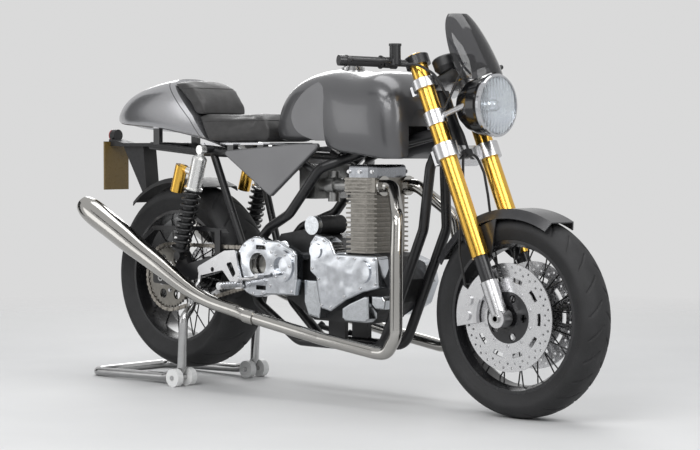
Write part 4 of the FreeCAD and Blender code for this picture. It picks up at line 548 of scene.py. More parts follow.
class MOTORCYCLE_OT_metalwork(Operator):
    """Finish the engine, fork, brakes, exhaust and stand"""
    bl_idname = "motorcycle.metalwork"
    bl_label = "Metalwork"

    def execute(self, context):
        tones = finishes()
        dress(polished_casting("Polished_cover", (0.55, 0.57, 0.60)), "timing_cover",
              "gearbox_cover", "primary_cover")
        black_case = ((0.014, 0.014, 0.015), 0.0, 0.4, 0.6)
        bright_case = ((0.50, 0.52, 0.54), 1.0, 0.14, 0.24)
        dress(layered("Crankcase_black_and_bright", black_case, (bright_case, CASE_SIDE)), "crankcase")
        alloy = ((0.30, 0.285, 0.26), 1.0, 0.34, 0.5)
        dress(layered("Barrel_alloy", alloy, bump=0.3), "cylinder_barrel")
        rocker_alloy = ((0.29, 0.30, 0.32), 1.0, 0.2, 0.32)
        dress(layered("Head_alloy", alloy, (rocker_alloy, ROCKER_COVER), bump=0.15), "cylinder_head")
        dress(metal("Machined_alloy", (0.62, 0.62, 0.63), 0.22, 0.32, scale=30, share=0.04, bump=0.004),
              "upper_yoke", "lower_yoke", "front_calipers", "axle_clamps", "rear_caliper",
              "footrest_right", "footrest_left", "lamp_brackets")
        dress(satin("Controls_black", (0.02, 0.02, 0.021), 0.25, 0.4), "controls_right", "controls_left")
        dress(metal("Intake_alloy", (0.30, 0.30, 0.295), 0.3, 0.42, scale=160), "intake")
        dress(metal("Gold_anodising", tones.gold_colour, 0.16, 0.26, scale=300, share=0.06, bump=0.007),
              "fork_tubes")
        dress(metal("Polished_stainless", (0.44, 0.43, 0.41), 0.08, 0.16, scale=7, share=0.05, bump=0.02),
              "exhaust_pipe_right", "exhaust_pipe_left", "silencer_right", "silencer_left")
        dress(metal("Disc_steel", (0.64, 0.64, 0.65), 0.2, 0.32, scale=400, share=0.04, bump=0.008),
              "front_discs", "rear_disc")
        dress(metal("Bright_steel", (0.48, 0.48, 0.48), 0.14, 0.24, scale=30, share=0.06, bump=0.01),
              "front_axle", "rear_axle", "fuel_cap", "paddock_stand")
        dress(metal("Chain_steel", (0.22, 0.21, 0.19), 0.3, 0.5), "rear_sprocket", "front_sprocket")
        dress(satin("Fork_black", (0.012, 0.012, 0.013), 0.2, 0.32), "fork_legs", "handlebar_right",
              "handlebar_left")
        damper_black = ((0.014, 0.014, 0.015), 0.0, 0.28, 0.4)
        damper_silver = ((0.74, 0.74, 0.73), 0.9, 0.2, 0.34)
        gold = (tones.gold_colour, 1.0, 0.18, 0.28)
        dress(layered("Damper_finish", damper_black, (damper_silver, DAMPER_BODY), (gold, RESERVOIR),
                      bump=0.01), "shock_right", "shock_left")
        dress(satin("Spring_black", damper_black[0], 0.28, 0.4), "springs")
        return {"FINISHED"}


# Tyres

RIM_RADIUS = 0.226
FRONT_RIM_WIDTH = 0.092
REAR_RIM_WIDTH = 0.146
TYRE_PROFILE = ((0.93, 0.30), (1.0, 0.52), (0.84, 0.76), (0.52, 0.94), (0.17, 1.0))
TYRE_STEPS = 720
PROFILE_SAMPLES = 7
TREAD_INNER = 0.10
TREAD_OUTER = 0.86
TREAD_FADE = 0.1
TREAD_FOOT = 0.62
TREAD_SLANT = 0.9
LEAST_TAPER = 0.05
GROOVE_EDGE = 1.6
WALL_LINE = 0.30
WALL_LINE_SPREAD = 0.02
WALL_LINE_DEPTH = 0.0008


def smooth_profile(points, samples):
    """Points along a smooth line through others."""
    line = []
    padded = [points[0], *points, points[-1]]
    for before, start, end, after in zip(padded, padded[1:], padded[2:], padded[3:]):
        for step in range(samples):
            t = step / samples
            line.append(tuple(0.5 * (2 * b + (c - a) * t + (2 * a - 5 * b + 4 * c - d) * t * t
                                     + (3 * b - a - 3 * c + d) * t ** 3)
                              for a, b, c, d in zip(before, start, end, after)))
    line.append(points[-1])
    return line


def groove_cut(angle, share, up, grooves, width, depth):
    """How deep a point of the tread lies in a groove, its share being its place across the tyre."""
    reach = abs(share)
    phase = angle / math.tau * grooves + TREAD_SLANT * reach + (0.5 if share < 0 else 0)
    away = abs(phase % 1 - 0.5) * math.tau * up / grooves
    taper = min(1, (reach - TREAD_INNER) / TREAD_FADE, (TREAD_OUTER - reach) / TREAD_FADE)
    return depth * max(0, min(1, GROOVE_EDGE - away / (width / 2 * max(taper, LEAST_TAPER))))


def treaded_tyre(name, node, rim_width, grooves, body, material):
    """A tyre of the solid's own form with slanted grooves cut in its tread."""
    low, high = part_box(node)
    middle = (Vector(low) + Vector(high)) / 2
    radius = (high[0] - low[0]) / 2
    half = (high[1] - low[1]) / 2
    deep = radius - RIM_RADIUS
    side = [(rim_width / 2, RIM_RADIUS)] + [(half * out, RIM_RADIUS + deep * up) for out, up in TYRE_PROFILE]
    corners = [(-out, up) for out, up in side] + side[::-1]
    profile = [(out, min(up, radius)) for out, up in smooth_profile(corners, PROFILE_SAMPLES)]
    tyres = bpy.context.scene.motorcycle_tyres
    width = tyres.groove_width
    depth = tyres.groove_depth
    rows = []
    for step in range(TYRE_STEPS):
        angle = math.tau * step / TYRE_STEPS
        row = []
        for out, up in profile:
            share = out / half
            cut = 0
            if TREAD_INNER < abs(share) < TREAD_OUTER and up > RIM_RADIUS + deep * TREAD_FOOT:
                cut = groove_cut(angle, share, up, grooves, width, depth)
            if abs(up - (RIM_RADIUS + deep * WALL_LINE)) < deep * WALL_LINE_SPREAD:
                cut = WALL_LINE_DEPTH
            row.append(middle + Vector(((up - cut) * math.cos(angle), out, (up - cut) * math.sin(angle))))
        rows.append(row)
    shape = bmesh.new()
    ring_grid(shape, rows, closed_rows=True)
    tyre = made_object(name, shape, body, material, smooth=True)
    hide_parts(node)


class MOTORCYCLE_OT_wheels(Operator):
    """Finish the wire wheels and cut the tyres' tread"""
    bl_idname = "motorcycle.wheels"
    bl_label = "Wheels"

    def execute(self, context):
        dress(satin("Wheel_black", (0.010, 0.010, 0.011), 0.18, 0.30), "front_wheel", "rear_wheel")
        tyre_rubber = rubber("Tyre_rubber")
        tyres = context.scene.motorcycle_tyres
        treaded_tyre("Front_tyre_tread", "front_tyre", FRONT_RIM_WIDTH, tyres.front_grooves,
                     "front_wheel_set", tyre_rubber)
        treaded_tyre("Rear_tyre_tread", "rear_tyre", REAR_RIM_WIDTH, tyres.rear_grooves,
                     "rear_wheel_set", tyre_rubber)
        dress(rubber("Grip_rubber", (0.02, 0.02, 0.021)), "grips", "brake_hoses")
        return {"FINISHED"}


# Drive chain

CHAIN_LINE = -0.104
CHAIN_GAP = 0.0012
HALF_LINK = 0.0075
CHAIN_REAR = 0.103 + CHAIN_GAP + HALF_LINK
CHAIN_FRONT = 0.043 + CHAIN_GAP + HALF_LINK
CHAIN_CENTRE = Vector((0.463, 0, 0.060))
CHAIN_PITCH = 0.015875
PLATE_EYE = 0.0068
PLATE_WAIST = PLATE_EYE * 0.72
INNER_PLATE = (0.0045, 0.0062)
OUTER_PLATE = (0.0065, 0.0080)


def chain_points():
    """The pins' places round the loop."""
    run = CHAIN_CENTRE.length
    heading = math.atan2(CHAIN_CENTRE.z, CHAIN_CENTRE.x)
    wrap = math.acos((CHAIN_REAR - CHAIN_FRONT) / run)
    straight = run * math.sin(wrap)
    rear_arc = 2 * CHAIN_REAR * (math.pi - wrap)
    front_arc = 2 * CHAIN_FRONT * wrap
    length = 2 * straight + rear_arc + front_arc
    count = 2 * round(length / CHAIN_PITCH / 2)
    upper = heading + wrap
    lower = heading - wrap

    def on_circle(radius, angle):
        return Vector((math.cos(angle), 0, math.sin(angle))) * radius

    def along_run(angle, distance):
        return Vector((-math.sin(angle), 0, math.cos(angle))) * distance

    def place(along):
        along %= length
        if along < rear_arc:
            return on_circle(CHAIN_REAR, upper + along / CHAIN_REAR)
        along -= rear_arc
        if along < straight:
            return on_circle(CHAIN_REAR, lower) + along_run(lower, along)
        along -= straight
        if along < front_arc:
            return CHAIN_CENTRE + on_circle(CHAIN_FRONT, lower + along / CHAIN_FRONT)
        along -= front_arc
        return CHAIN_CENTRE + on_circle(CHAIN_FRONT, upper) + along_run(upper, along)

    return [place(index * length / count) for index in range(count)]


def link_plate(shape, start, end, low, high):
    """A side plate with a round eye at each pin and a waist between them."""
    along = (end - start).normalized()
    up = Vector((-along.z, 0, along.x))
    reach = (end - start).length
    outline = []
    for centre, first, waist in ((reach, -3, PLATE_WAIST), (0, 3, -PLATE_WAIST)):
        for step in range(first, first + 7):
            turn = math.radians(30 * step)
            outline.append((centre + PLATE_EYE * math.cos(turn), PLATE_EYE * math.sin(turn)))
        outline.append((reach / 2, waist))
    capped(shape, [[start + along * x + up * z + Y_AXIS * y for x, z in outline] for y in (low, high)])


def short_pin(shape, place, half, radius, steps):
    """A pin or a roller across the chain, as long to either side of its line."""
    ends = [place + Y_AXIS * (CHAIN_LINE + side * half) for side in (RIGHT, LEFT)]
    capped(shape, [round_row(end, radius, steps, X_AXIS, Z_AXIS) for end in ends])


class MOTORCYCLE_OT_chain(Operator):
    """Build the drive chain of plates, rollers and pins"""
    bl_idname = "motorcycle.chain"
    bl_label = "Drive chain"

    def execute(self, context):
        pins = chain_points()
        shape = bmesh.new()
        for index, (start, end) in enumerate(zip(pins, pins[1:] + pins[:1])):
            inner, outer = INNER_PLATE if index % 2 else OUTER_PLATE
            for side in (RIGHT, LEFT):
                link_plate(shape, start, end, *sorted((CHAIN_LINE + side * inner, CHAIN_LINE + side * outer)))
            short_pin(shape, start, half=0.0084, radius=0.0026, steps=8)
            short_pin(shape, start, half=0.0045, radius=0.0050, steps=12)
        steel = metal("Oiled_chain", (0.30, 0.28, 0.25), 0.28, 0.5, scale=120, share=0.3)
        chain = made_object("Roller_chain", shape, "chassis", steel)
        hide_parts("drive_chain")
        return {"FINISHED"}


# Fasteners, their places in millimetres, their radius and height in metres

TIMING_SCREWS = ((688, 58), (688, 134), (704, 150), (740, 147), (800, 95), (870, 95), (950, 95), (956, 20),
                 (893, 4), (826, -24), (766, -60), (730, -55), (716, 26))
PRIMARY_SCREWS = ((512, 138), (562, 151), (650, 145), (742, 139), (778, 95), (900, 93), (972, 70), (985, 20),
                  (958, -42), (895, -75), (780, -67), (670, -57), (570, -47), (506, 4))
GEARBOX_SCREWS = ((616, -18), (622, 96), (560, 127))
HEAD_NUTS = ((812, 364), (856, 364), (900, 364))
GEARBOX_RING = (455, 54, 87, (35, 65, 100, 128, 228, 262, 290, 318))
RECESS_RING = (571, 61, 41, range(0, 360, 60))
DISC_RING = (FRONT_AXLE.x / MM, FRONT_AXLE.z / MM, 84, range(18, 378, 36))
SPROCKET_RING = (0, 0, 46, range(30, 390, 60))
SCREW = (0.0046, 0.0036)
SMALL_SCREW = (0.0036, 0.003)
DISC_BUTTON = (0.0052, 0.003)
HEAD_NUT = (0.0062, 0.0058)
SPROCKET_NUT = (0.006, 0.005)
FORK_CAP = (0.015, 0.006)
STEM_NUT = (0.016, 0.008)
SINK = 0.0003
OUTSIDE = 0.6


def round_places(centre_x, centre_z, radius, angles):
    """Places on a circle seen from the side."""
    turns = [math.radians(angle) for angle in angles]
    return [(centre_x + radius * math.cos(turn), centre_z + radius * math.sin(turn)) for turn in turns]


def surface_from_side(node, x, z, side):
    """Where a line across the motorcycle first meets a node, coming from one side."""
    start = Vector((x * MM, side * OUTSIDE, z * MM))
    hit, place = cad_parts[node].ray_cast(start, Vector((0, -side, 0)))[:2]
    if not hit:
        raise RuntimeError(f"{node} has no face at {x}, {z}")
    return place


def screws(shape, node, places, side, size, head=socket_head):
    """Screws or nuts that sink a little into a node's outer face."""
    for x, z in places:
        seat = surface_from_side(node, x, z, side) - Vector((0, side * SINK, 0))
        head(shape, seat, (0, side, 0), *size)


class MOTORCYCLE_OT_fasteners(Operator):
    """Add the screws and nuts that show"""
    bl_idname = "motorcycle.fasteners"
    bl_label = "Fasteners"

    def execute(self, context):
        steel = metal("Screw_steel", (0.55, 0.55, 0.56), 0.2, 0.34, scale=300)
        chassis = bmesh.new()
        screws(chassis, "timing_cover", TIMING_SCREWS, RIGHT, SCREW)
        screws(chassis, "primary_cover", PRIMARY_SCREWS, LEFT, SCREW)
        screws(chassis, "gearbox_cover", GEARBOX_SCREWS, RIGHT, SCREW)
        screws(chassis, "gearbox_cover", round_places(*GEARBOX_RING), RIGHT, SCREW)
        screws(chassis, "gearbox_cover", round_places(*RECESS_RING), RIGHT, SMALL_SCREW)
        for side in (RIGHT, LEFT):
            screws(chassis, "cylinder_head", HEAD_NUTS, side, HEAD_NUT, hex_nut)
        made_object("Chassis_fasteners", chassis, "chassis", steel)
        wheel = bmesh.new()
        for side in (RIGHT, LEFT):
            screws(wheel, "front_discs", round_places(*DISC_RING), side, DISC_BUTTON)
        made_object("Front_disc_buttons", wheel, "front_wheel_set", steel)
        wheel = bmesh.new()
        screws(wheel, "rear_sprocket", round_places(*SPROCKET_RING), RIGHT, SPROCKET_NUT, hex_nut)
        made_object("Rear_sprocket_nuts", wheel, "rear_wheel_set", steel)
        fork = bmesh.new()
        up = FORK_TURN @ Z_AXIS
        for side in (RIGHT, LEFT):
            hex_nut(fork, fork_place(0, side * 0.098, 0.8377), up, *FORK_CAP)
        hex_nut(fork, fork_place(-0.035, 0, 0.7577), up, *STEM_NUT)
        made_object("Fork_caps", fork, "steering", steel)
        return {"FINISHED"}


# Lamp and dials

MIRROR_ROWS = 13
MIRROR_STEPS = 64
MIRROR_DEPTH = 0.0165
MIRROR_REACH = 0.985
BULB_DEPTH = 0.0150
BULB_STEPS = 24
BULB_PROFILE = ((0, 0.017), (0.005, 0.017), (0.0065, 0.014), (0.0135, 0.013), (0.0142, 0.010))


class MOTORCYCLE_OT_lamp(Operator):
    """Build the lamp's reflector and bulb and finish its glass"""
    bl_idname = "motorcycle.lamp"
    bl_label = "Headlamp"

    def execute(self, context):
        low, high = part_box("headlamp_lens")
        centre = (Vector(low) + Vector(high)) / 2
        back = Vector((low[0], centre.y, centre.z))
        reach = (high[1] - low[1]) / 2 * MIRROR_REACH
        rows = []
        for step in range(MIRROR_ROWS):
            share = 1 - step / MIRROR_ROWS
            place = back - X_AXIS * (MIRROR_DEPTH * (1 - share))
            rows.append(round_row(place, reach * share, MIRROR_STEPS, Y_AXIS, Z_AXIS))
        mirror = bmesh.new()
        capped(mirror, rows, first=False)
        silver = metal("Reflector", (0.80, 0.81, 0.83), 0.04, 0.08, scale=40, share=0.03, bump=0.01)
        made_object("Lamp_reflector", mirror, "steering", silver, smooth=True)
        root = back - X_AXIS * BULB_DEPTH
        bulb = bmesh.new()
        capped(bulb, [round_row(root + X_AXIS * along, out, BULB_STEPS, Y_AXIS, Z_AXIS)
                      for along, out in BULB_PROFILE], first=False)
        shield = metal("Bulb_shield", (0.75, 0.76, 0.78), 0.12, 0.2)
        made_object("Lamp_bulb_shield", bulb, "steering", shield, smooth=True)
        dress(fluted_glass("Lamp_glass"), "headlamp_lens")
        return {"FINISHED"}


DIAL_AHEAD = 0.058
DIAL_SIDE = 0.042
DIAL_FACE = 0.8020
DIAL_GLASS = 0.8050
MARK_COUNT = 21
MARK_STEP = 13
FIRST_MARK = 130
MARK_END = 0.030
LONG_MARK = (0.0235, 0.0011)
SHORT_MARK = (0.0265, 0.0006)
HUB_STEPS = 16
HUB_PROFILE = ((0.0035, 0.0002), (0.0035, 0.0020))
GLASS_STEPS = 40
GLASS_REACH = 0.0336
GLASS_PROFILE = ((1, 0), (0.97, 0.0010), (0.5, 0.0018), (0.1, 0.0020))


def flat_bar(shape, base, degrees, inner, outer, width, height):
    """A thin bar that lies on a dial, pointing out at an angle."""
    turn = math.radians(degrees)
    ray = Vector((math.cos(turn), math.sin(turn), 0))
    across = Vector((-ray.y, ray.x, 0)) * width / 2
    start = ray * inner
    end = ray * outer
    corners = (start - across, end - across, end + across, start + across)
    capped(shape, [[base @ (corner + Z_AXIS * up) for corner in corners] for up in (height / 2, height)])


def dial_bases(height):
    """The places of the two dials, at a height in the fork's own frame."""
    return [Matrix.Translation(fork_place(DIAL_AHEAD, side * DIAL_SIDE, height)) @ FORK_TURN
            for side in (RIGHT, LEFT)]


class MOTORCYCLE_OT_dials(Operator):
    """Mark the two dials and set their needles"""
    bl_idname = "motorcycle.dials"
    bl_label = "Dials"

    def execute(self, context):
        marks = bmesh.new()
        needles = bmesh.new()
        for base in dial_bases(DIAL_FACE):
            for index in range(MARK_COUNT):
                inner, width = SHORT_MARK if index % 2 else LONG_MARK
                flat_bar(marks, base, FIRST_MARK - MARK_STEP * index, inner, MARK_END, width, height=0.0003)
            flat_bar(needles, base, FIRST_MARK, inner=-0.006, outer=0.026, width=0.0014, height=0.0012)
            capped(needles, turned_rows(base, HUB_STEPS, HUB_PROFILE), first=False)
        pale = satin("Dial_marks", (0.75, 0.75, 0.72), 0.4, 0.5)
        made_object("Dial_marks", marks, "steering", pale)
        red = satin("Dial_needles", (0.5, 0.03, 0.015), 0.3, 0.4)
        made_object("Dial_needles", needles, "steering", red)
        glass = bmesh.new()
        for base in dial_bases(DIAL_GLASS):
            profile = [(GLASS_REACH * size, height) for size, height in GLASS_PROFILE]
            capped(glass, turned_rows(base, GLASS_STEPS, profile))
        pane = clear("Dial_glass", (0.95, 0.97, 1.0))
        made_object("Dial_glasses", glass, "steering", pane, smooth=True)
        return {"FINISHED"}


# Saddle and back pad

INSET_PARTS = 3
BASE_BAND = 0.012
FILLING_FRAMES = 20
WELT_POINTS = 120
WELT_SHADE = 0.6


def swap_mesh(piece):
    """Makes a piece's modifiers part of its mesh."""
    graph = bpy.context.evaluated_depsgraph_get()
    piece.data = bpy.data.meshes.new_from_object(piece.evaluated_get(graph))
    piece.modifiers.clear()


def filled_places(pad, rest, pressure):
    """Where the cover's points end once the filling has pushed them out."""
    low = min(place.z for place in rest)
    group = pad.vertex_groups.new(name="Base")
    group.add([index for index, place in enumerate(rest) if place.z < low + BASE_BAND], 1, "REPLACE")
    cloth = pad.modifiers.new("Filling", "CLOTH")
    cloth.settings.use_pressure = True
    cloth.settings.uniform_pressure_force = pressure
    cloth.settings.effector_weights.gravity = 0
    cloth.settings.vertex_group_mass = "Base"
    for number in range(1, FILLING_FRAMES + 1):
        bpy.context.scene.frame_set(number)
    moved = pad.evaluated_get(bpy.context.evaluated_depsgraph_get()).to_mesh()
    ends = [vertex.co.copy() for vertex in moved.vertices]
    pad.modifiers.clear()
    pad.vertex_groups.clear()
    return ends


def puffed(node, name, material):
    """A pad of the solid's form whose cover is pushed out by its filling."""
    padding = bpy.context.scene.motorcycle_padding
    pad = linked(name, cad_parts[node].data.copy())
    remesh = pad.modifiers.new("Voxels", "REMESH")
    remesh.mode = "VOXEL"
    remesh.voxel_size = padding.voxel
    swap_mesh(pad)
    for vertex, outwards in [(vertex, vertex.normal.copy()) for vertex in pad.data.vertices]:
        vertex.co -= outwards * padding.seat_swell / INSET_PARTS
    softened = pad.modifiers.new("Softened", "SMOOTH")
    softened.iterations = 24
    swap_mesh(pad)
    rest = [vertex.co.copy() for vertex in pad.data.vertices]
    ends = filled_places(pad, rest, padding.pressure)
    for vertex, start, end in zip(pad.data.vertices, rest, ends):
        shift = end - start
        if shift.length > padding.seat_swell:
            shift *= padding.seat_swell / shift.length
        vertex.co = start + shift
    bpy.context.scene.frame_set(1)
    smooth = pad.modifiers.new("Smooth", "SMOOTH")
    smooth.iterations = 6
    finer = pad.modifiers.new("Finer", "SUBSURF")
    finer.levels = 1
    finer.render_levels = 1
    swap_mesh(pad)
    for face in pad.data.polygons:
        face.use_smooth = True
    pad.data.materials.clear()
    pad.data.materials.append(material)
    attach(pad, "chassis")
    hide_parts(node)
    return pad


def piping(pad, name, height, radius, material):
    """A welt round a pad at one height, found on its own surface."""
    bpy.context.view_layer.update()
    low = Vector([min(vertex.co[axis] for vertex in pad.data.vertices) for axis in range(3)])
    high = Vector([max(vertex.co[axis] for vertex in pad.data.vertices) for axis in range(3)])
    centre = (low + high) / 2
    centre.z = height
    points = []
    for ray in round_row(Vector((0, 0, 0)), 1, WELT_POINTS):
        hit, place = pad.ray_cast(centre + ray, -ray)[:2]
        if hit:
            points.append(place)
    curve = bpy.data.curves.new(name, "CURVE")
    curve.dimensions = "3D"
    curve.bevel_depth = radius
    curve.bevel_resolution = 3
    line = curve.splines.new("POLY")
    line.points.add(len(points) - 1)
    for point, place in zip(line.points, points):
        point.co = (*place, 1)
    line.use_cyclic_u = True
    welt = linked(name, curve)
    curve.materials.append(material)
    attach(welt, "chassis")


class MOTORCYCLE_OT_seat(Operator):
    """Pad the seat and the back rest and sew their welts"""
    bl_idname = "motorcycle.seat"
    bl_label = "Saddle"

    def execute(self, context):
        hide = leather("Saddle_leather", finishes().leather_colour)
        saddle = puffed("seat_pad", "Saddle_cushion", hide)
        back = puffed("back_pad", "Back_cushion", hide)
        thread = leather("Welt_leather", [part * WELT_SHADE for part in finishes().leather_colour])
        piping(saddle, "Saddle_welt", height=0.528, radius=0.0016, material=thread)
        piping(back, "Back_welt", height=0.640, radius=0.0014, material=thread)
        return {"FINISHED"}


# Trim

GUARD_LIP = [(-X_AXIS, 0.4015), (-Z_AXIS, -0.4605)]
LAMP_LENS = [(-X_AXIS, 0.4175)]
PLATE_BACK = -0.4102
PLATE_HEIGHT = 0.372
PLATE_HALF_WIDTH = 0.044
PLATE_HALF_HEIGHT = 0.072
PLATE_CORNERS = ((1, 1, 0), (-1, 1, 90), (-1, -1, 180), (1, -1, 270))
PLATE_ROUNDING = 0.008
PLATE_PROFILE = ((0.0, 0.0), (0.0012, 0.0), (0.0016, 0.0006))


def blank_plate():
    """A bare plate with rounded corners."""
    rows = []
    for depth, inset in PLATE_PROFILE:
        row = []
        reach = PLATE_ROUNDING - inset
        for side_y, side_z, start in PLATE_CORNERS:
            for step in range(6):
                turn = math.radians(start + 18 * step)
                row.append(Vector((PLATE_BACK - depth, side_y * PLATE_HALF_WIDTH + reach * math.cos(turn),
                                   PLATE_HEIGHT + side_z * PLATE_HALF_HEIGHT + reach * math.sin(turn))))
        rows.append(row)
    shape = bmesh.new()
    capped(shape, rows)
    return shape


class MOTORCYCLE_OT_trim(Operator):
    """Finish the guards, screen, lamp, plate and instruments"""
    bl_idname = "motorcycle.trim"
    bl_label = "Trim"

    def execute(self, context):
        dress(satin("Mudguard_grey", (0.030, 0.030, 0.032), 0.16, 0.26), "front_mudguard")
        moulded = ((0.016, 0.016, 0.017), 0.0, 0.46, 0.58)
        amber = ((0.16, 0.105, 0.03), 0.0, 0.25, 0.35)
        dress(layered("Guard_black_and_amber", moulded, (amber, GUARD_LIP), bump=0.015), "rear_guard")
        dress(satin("Dial_cases", (0.014, 0.014, 0.015), 0.3, 0.5), "instruments")
        dress(clear("Smoked_screen", (0.10, 0.10, 0.105), weight=0.8, rough_low=0.04, rough_high=0.06),
              "fly_screen")
        lamp_case = ((0.014, 0.014, 0.015), 0.0, 0.3, 0.45)
        lamp_red = ((0.35, 0.008, 0.008), 0.0, 0.08, 0.16)
        dress(layered("Tail_lamp_red", lamp_case, (lamp_red, LAMP_LENS)), "tail_lamp")
        dress(satin("Pale_nylon", (0.66, 0.66, 0.64), 0.4, 0.6), "stand_wheels")
        made_object("Blank_plate", blank_plate(), "chassis",
                    satin("Plate_amber", (0.52, 0.33, 0.07), 0.3, 0.42))
        return {"FINISHED"}


# Stage, its lamps by name, place, target, size and share of the key lamp's power

LAMPS = (
    ("Key", (1.8, -4.0, 3.2), (0.6, 0, 0.2), (3.6, 2.6), 1),
    ("Front", (5.2, -0.6, 2.4), (0.8, 0, 0.2), (2.6, 2.6), 0.5),
    ("Top", (0.6, 0.6, 4.4), (0.6, 0, 0.2), (4.4, 2.4), 0.6),
    ("Back", (-2.8, 3.2, 2.6), (0.4, 0, 0.3), (2.6, 2.2), 0.5),
    ("Side", (-2.6, -3.5, 0.75), (0.6, 0, 0.2), (1.7, 1.8), 0.08),
)
CARDS = (
    ("Card_right", (0.7, -4.2, 0.7), (1.1, 3.0)),
    ("Card_front", (4.6, 0.9, 0.7), (1.0, 3.0)),
    ("Card_rear", (-3.6, -1.2, 0.7), (1.2, 3.0)),
    ("Card_over", (0.7, -3.4, 2.6), (5.0, 0.5)),
)
CARD_TARGET = (0.7, 0, 0.2)
FLOOR_CENTRE = Vector((0.7, 0, FLOOR_HEIGHT))
FLOOR_RADIUS = 6.0
FLOOR_STEPS = 96
FLOOR_ROWS = ((1, -0.02), (1, 0), (0.5, 0), (0.2, 0))
CAMERA_TARGET = Vector((0.7342, 0, 0.1925))


def soft_lamp(name, place, target, size, power):
    """A wide soft lamp that the camera doesn't see."""
    data = bpy.data.lights.new(name, "AREA")
    data.shape = "RECTANGLE"
    data.size, data.size_y = size
    data.energy = power
    lamp = linked(name, data)
    lamp.location = place
    lamp.rotation_euler = (Vector(target) - Vector(place)).to_track_quat("-Z", "Y").to_euler()
    lamp.visible_camera = False


def flag(name, place, size, material):
    """A dark card that only reflections see, as a studio sets one up to draw an edge on bright metal."""
    width, height = size
    shape = bmesh.new()
    shape.faces.new([shape.verts.new((across * width / 2, up * height / 2, 0))
                     for across, up in ((-1, -1), (1, -1), (1, 1), (-1, 1))])
    card = linked(name, finished_mesh(name, shape))
    card.data.materials.append(material)
    card.location = place
    card.rotation_euler = (Vector(CARD_TARGET) - Vector(place)).to_track_quat("Z", "Y").to_euler()
    card.visible_camera = False
    card.visible_diffuse = False
    card.visible_shadow = False
    card.visible_transmission = False


def round_floor(material):
    """A round floor whose top face lies at the floor's height."""
    shape = bmesh.new()
    capped(shape, [round_row(FLOOR_CENTRE + Z_AXIS * drop, FLOOR_RADIUS * size, FLOOR_STEPS)
                   for size, drop in FLOOR_ROWS], first=False)
    floor = linked("Floor", finished_mesh("Floor", shape))
    floor.data.materials.append(material)


def floor_material(tone):
    """A pale floor that fades into the background away from the motorcycle."""
    material, tree, shader = new_material("Floor_pale")
    mottle(tree, shader, (tone, tone, tone), grain(tree, scale=3), share=0.02)
    shader.inputs["Roughness"].default_value = 0.7
    away = tree.nodes.new("ShaderNodeVectorMath")
    away.operation = "DISTANCE"
    away.inputs[1].default_value = FLOOR_CENTRE
    tree.links.new(own_place(tree), away.inputs[0])
    fade = spread(tree, away.outputs["Value"], low=0, high=1, start=1.6, end=4.5)
    see_through = tree.nodes.new("ShaderNodeBsdfTransparent")
    mix = tree.nodes.new("ShaderNodeMixShader")
    tree.links.new(fade, mix.inputs["Fac"])
    tree.links.new(shader.outputs["BSDF"], mix.inputs[1])
    tree.links.new(see_through.outputs["BSDF"], mix.inputs[2])
    tree.links.new(mix.outputs["Shader"], tree.nodes["Material Output"].inputs["Surface"])
    return material


def studio_world(tone):
    """A soft world whose pale tone only the camera, glass and reflections see."""
    world = bpy.data.worlds.new("Studio")
    bpy.context.scene.world = world
    world.use_nodes = True
    tree = world.node_tree
    light = tree.nodes["Background"]
    light.inputs["Color"].default_value = (0.92, 0.96, 1.0, 1)
    light.inputs["Strength"].default_value = 0.30
    seen = tree.nodes.new("ShaderNodeBackground")
    seen.inputs["Color"].default_value = (tone, tone, tone, 1)
    rays = tree.nodes.new("ShaderNodeLightPath").outputs
    direct = combined(tree, "MAXIMUM", rays["Is Camera Ray"], rays["Is Transmission Ray"])
    mix = tree.nodes.new("ShaderNodeMixShader")
    tree.links.new(combined(tree, "MAXIMUM", direct, rays["Is Glossy Ray"]), mix.inputs["Fac"])
    tree.links.new(light.outputs["Background"], mix.inputs[1])
    tree.links.new(seen.outputs["Background"], mix.inputs[2])
    tree.links.new(mix.outputs["Shader"], tree.nodes["World Output"].inputs["Surface"])


def set_camera(stage):
    """The camera at the photograph's viewing angle."""
    turn = stage.camera_azimuth
    rise = stage.camera_elevation
    away = Vector((math.sin(turn) * math.cos(rise), -math.cos(turn) * math.cos(rise), math.sin(rise)))
    data = bpy.data.cameras.new("Camera")
    data.lens = stage.camera_lens
    data.sensor_width = 36
    data.clip_end = 200
    camera = linked("Camera", data)
    camera.location = CAMERA_TARGET + away * stage.camera_distance
    camera.rotation_euler = (-away).to_track_quat("-Z", "Y").to_euler()
    bpy.context.scene.camera = camera


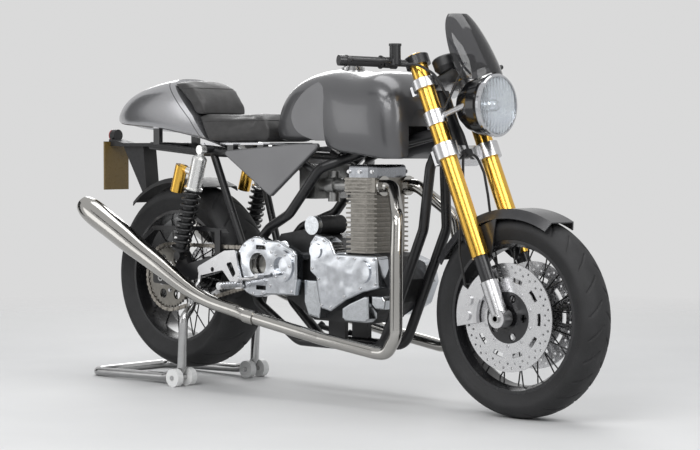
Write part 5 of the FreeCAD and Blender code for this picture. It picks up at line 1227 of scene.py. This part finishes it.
class MOTORCYCLE_OT_stage(Operator):
    """Lay the floor, light the studio and set the camera"""
    bl_idname = "motorcycle.stage"
    bl_label = "Stage"

    def execute(self, context):
        stage = context.scene.motorcycle_stage
        round_floor(floor_material(stage.floor_tone))
        studio_world(stage.background_tone)
        for name, place, target, size, share in LAMPS:
            soft_lamp(name, place, target, size, stage.key_power * share)
        card_black = satin("Card_black", (0.02, 0.02, 0.02), 0.8, 0.9)
        for name, place, size in CARDS:
            flag(name, place, size, card_black)
        set_camera(stage)
        context.scene.view_settings.view_transform = "Standard"
        return {"FINISHED"}


# Panel and registration

class MOTORCYCLE_PT_panel(Panel):
    """The pieces of the motorcycle, in the order they are made"""
    bl_label = "Motorcycle"
    bl_idname = "MOTORCYCLE_PT_panel"
    bl_space_type = "VIEW_3D"
    bl_region_type = "UI"
    bl_category = "Motorcycle"

    def draw(self, context):
        for word in GROUPS:
            group = getattr(context.scene, word)
            for name in group.__annotations__:
                self.layout.prop(group, name)
        for operator in OPERATORS:
            self.layout.operator(operator.bl_idname)


GROUPS = {
    "motorcycle_finishes": MotorcycleFinishes,
    "motorcycle_padding": MotorcyclePadding,
    "motorcycle_tyres": MotorcycleTyres,
    "motorcycle_stage": MotorcycleStage,
}
OPERATORS = (
    MOTORCYCLE_OT_paintwork,
    MOTORCYCLE_OT_metalwork,
    MOTORCYCLE_OT_wheels,
    MOTORCYCLE_OT_chain,
    MOTORCYCLE_OT_fasteners,
    MOTORCYCLE_OT_lamp,
    MOTORCYCLE_OT_dials,
    MOTORCYCLE_OT_seat,
    MOTORCYCLE_OT_trim,
    MOTORCYCLE_OT_stage,
)
CLASSES = (*GROUPS.values(), *OPERATORS, MOTORCYCLE_PT_panel)


def register():
    for item in CLASSES:
        bpy.utils.register_class(item)
    for word, group in GROUPS.items():
        setattr(bpy.types.Scene, word, PointerProperty(type=group))


def unregister():
    for word in GROUPS:
        delattr(bpy.types.Scene, word)
    for item in reversed(CLASSES):
        bpy.utils.unregister_class(item)


def main():
    register()
    bpy.ops.motorcycle.paintwork()
    bpy.ops.motorcycle.metalwork()
    bpy.ops.motorcycle.wheels()
    bpy.ops.motorcycle.chain()
    bpy.ops.motorcycle.fasteners()
    bpy.ops.motorcycle.lamp()
    bpy.ops.motorcycle.dials()
    bpy.ops.motorcycle.seat()
    bpy.ops.motorcycle.trim()
    bpy.ops.motorcycle.stage()


if __name__ == "__main__":
    main()
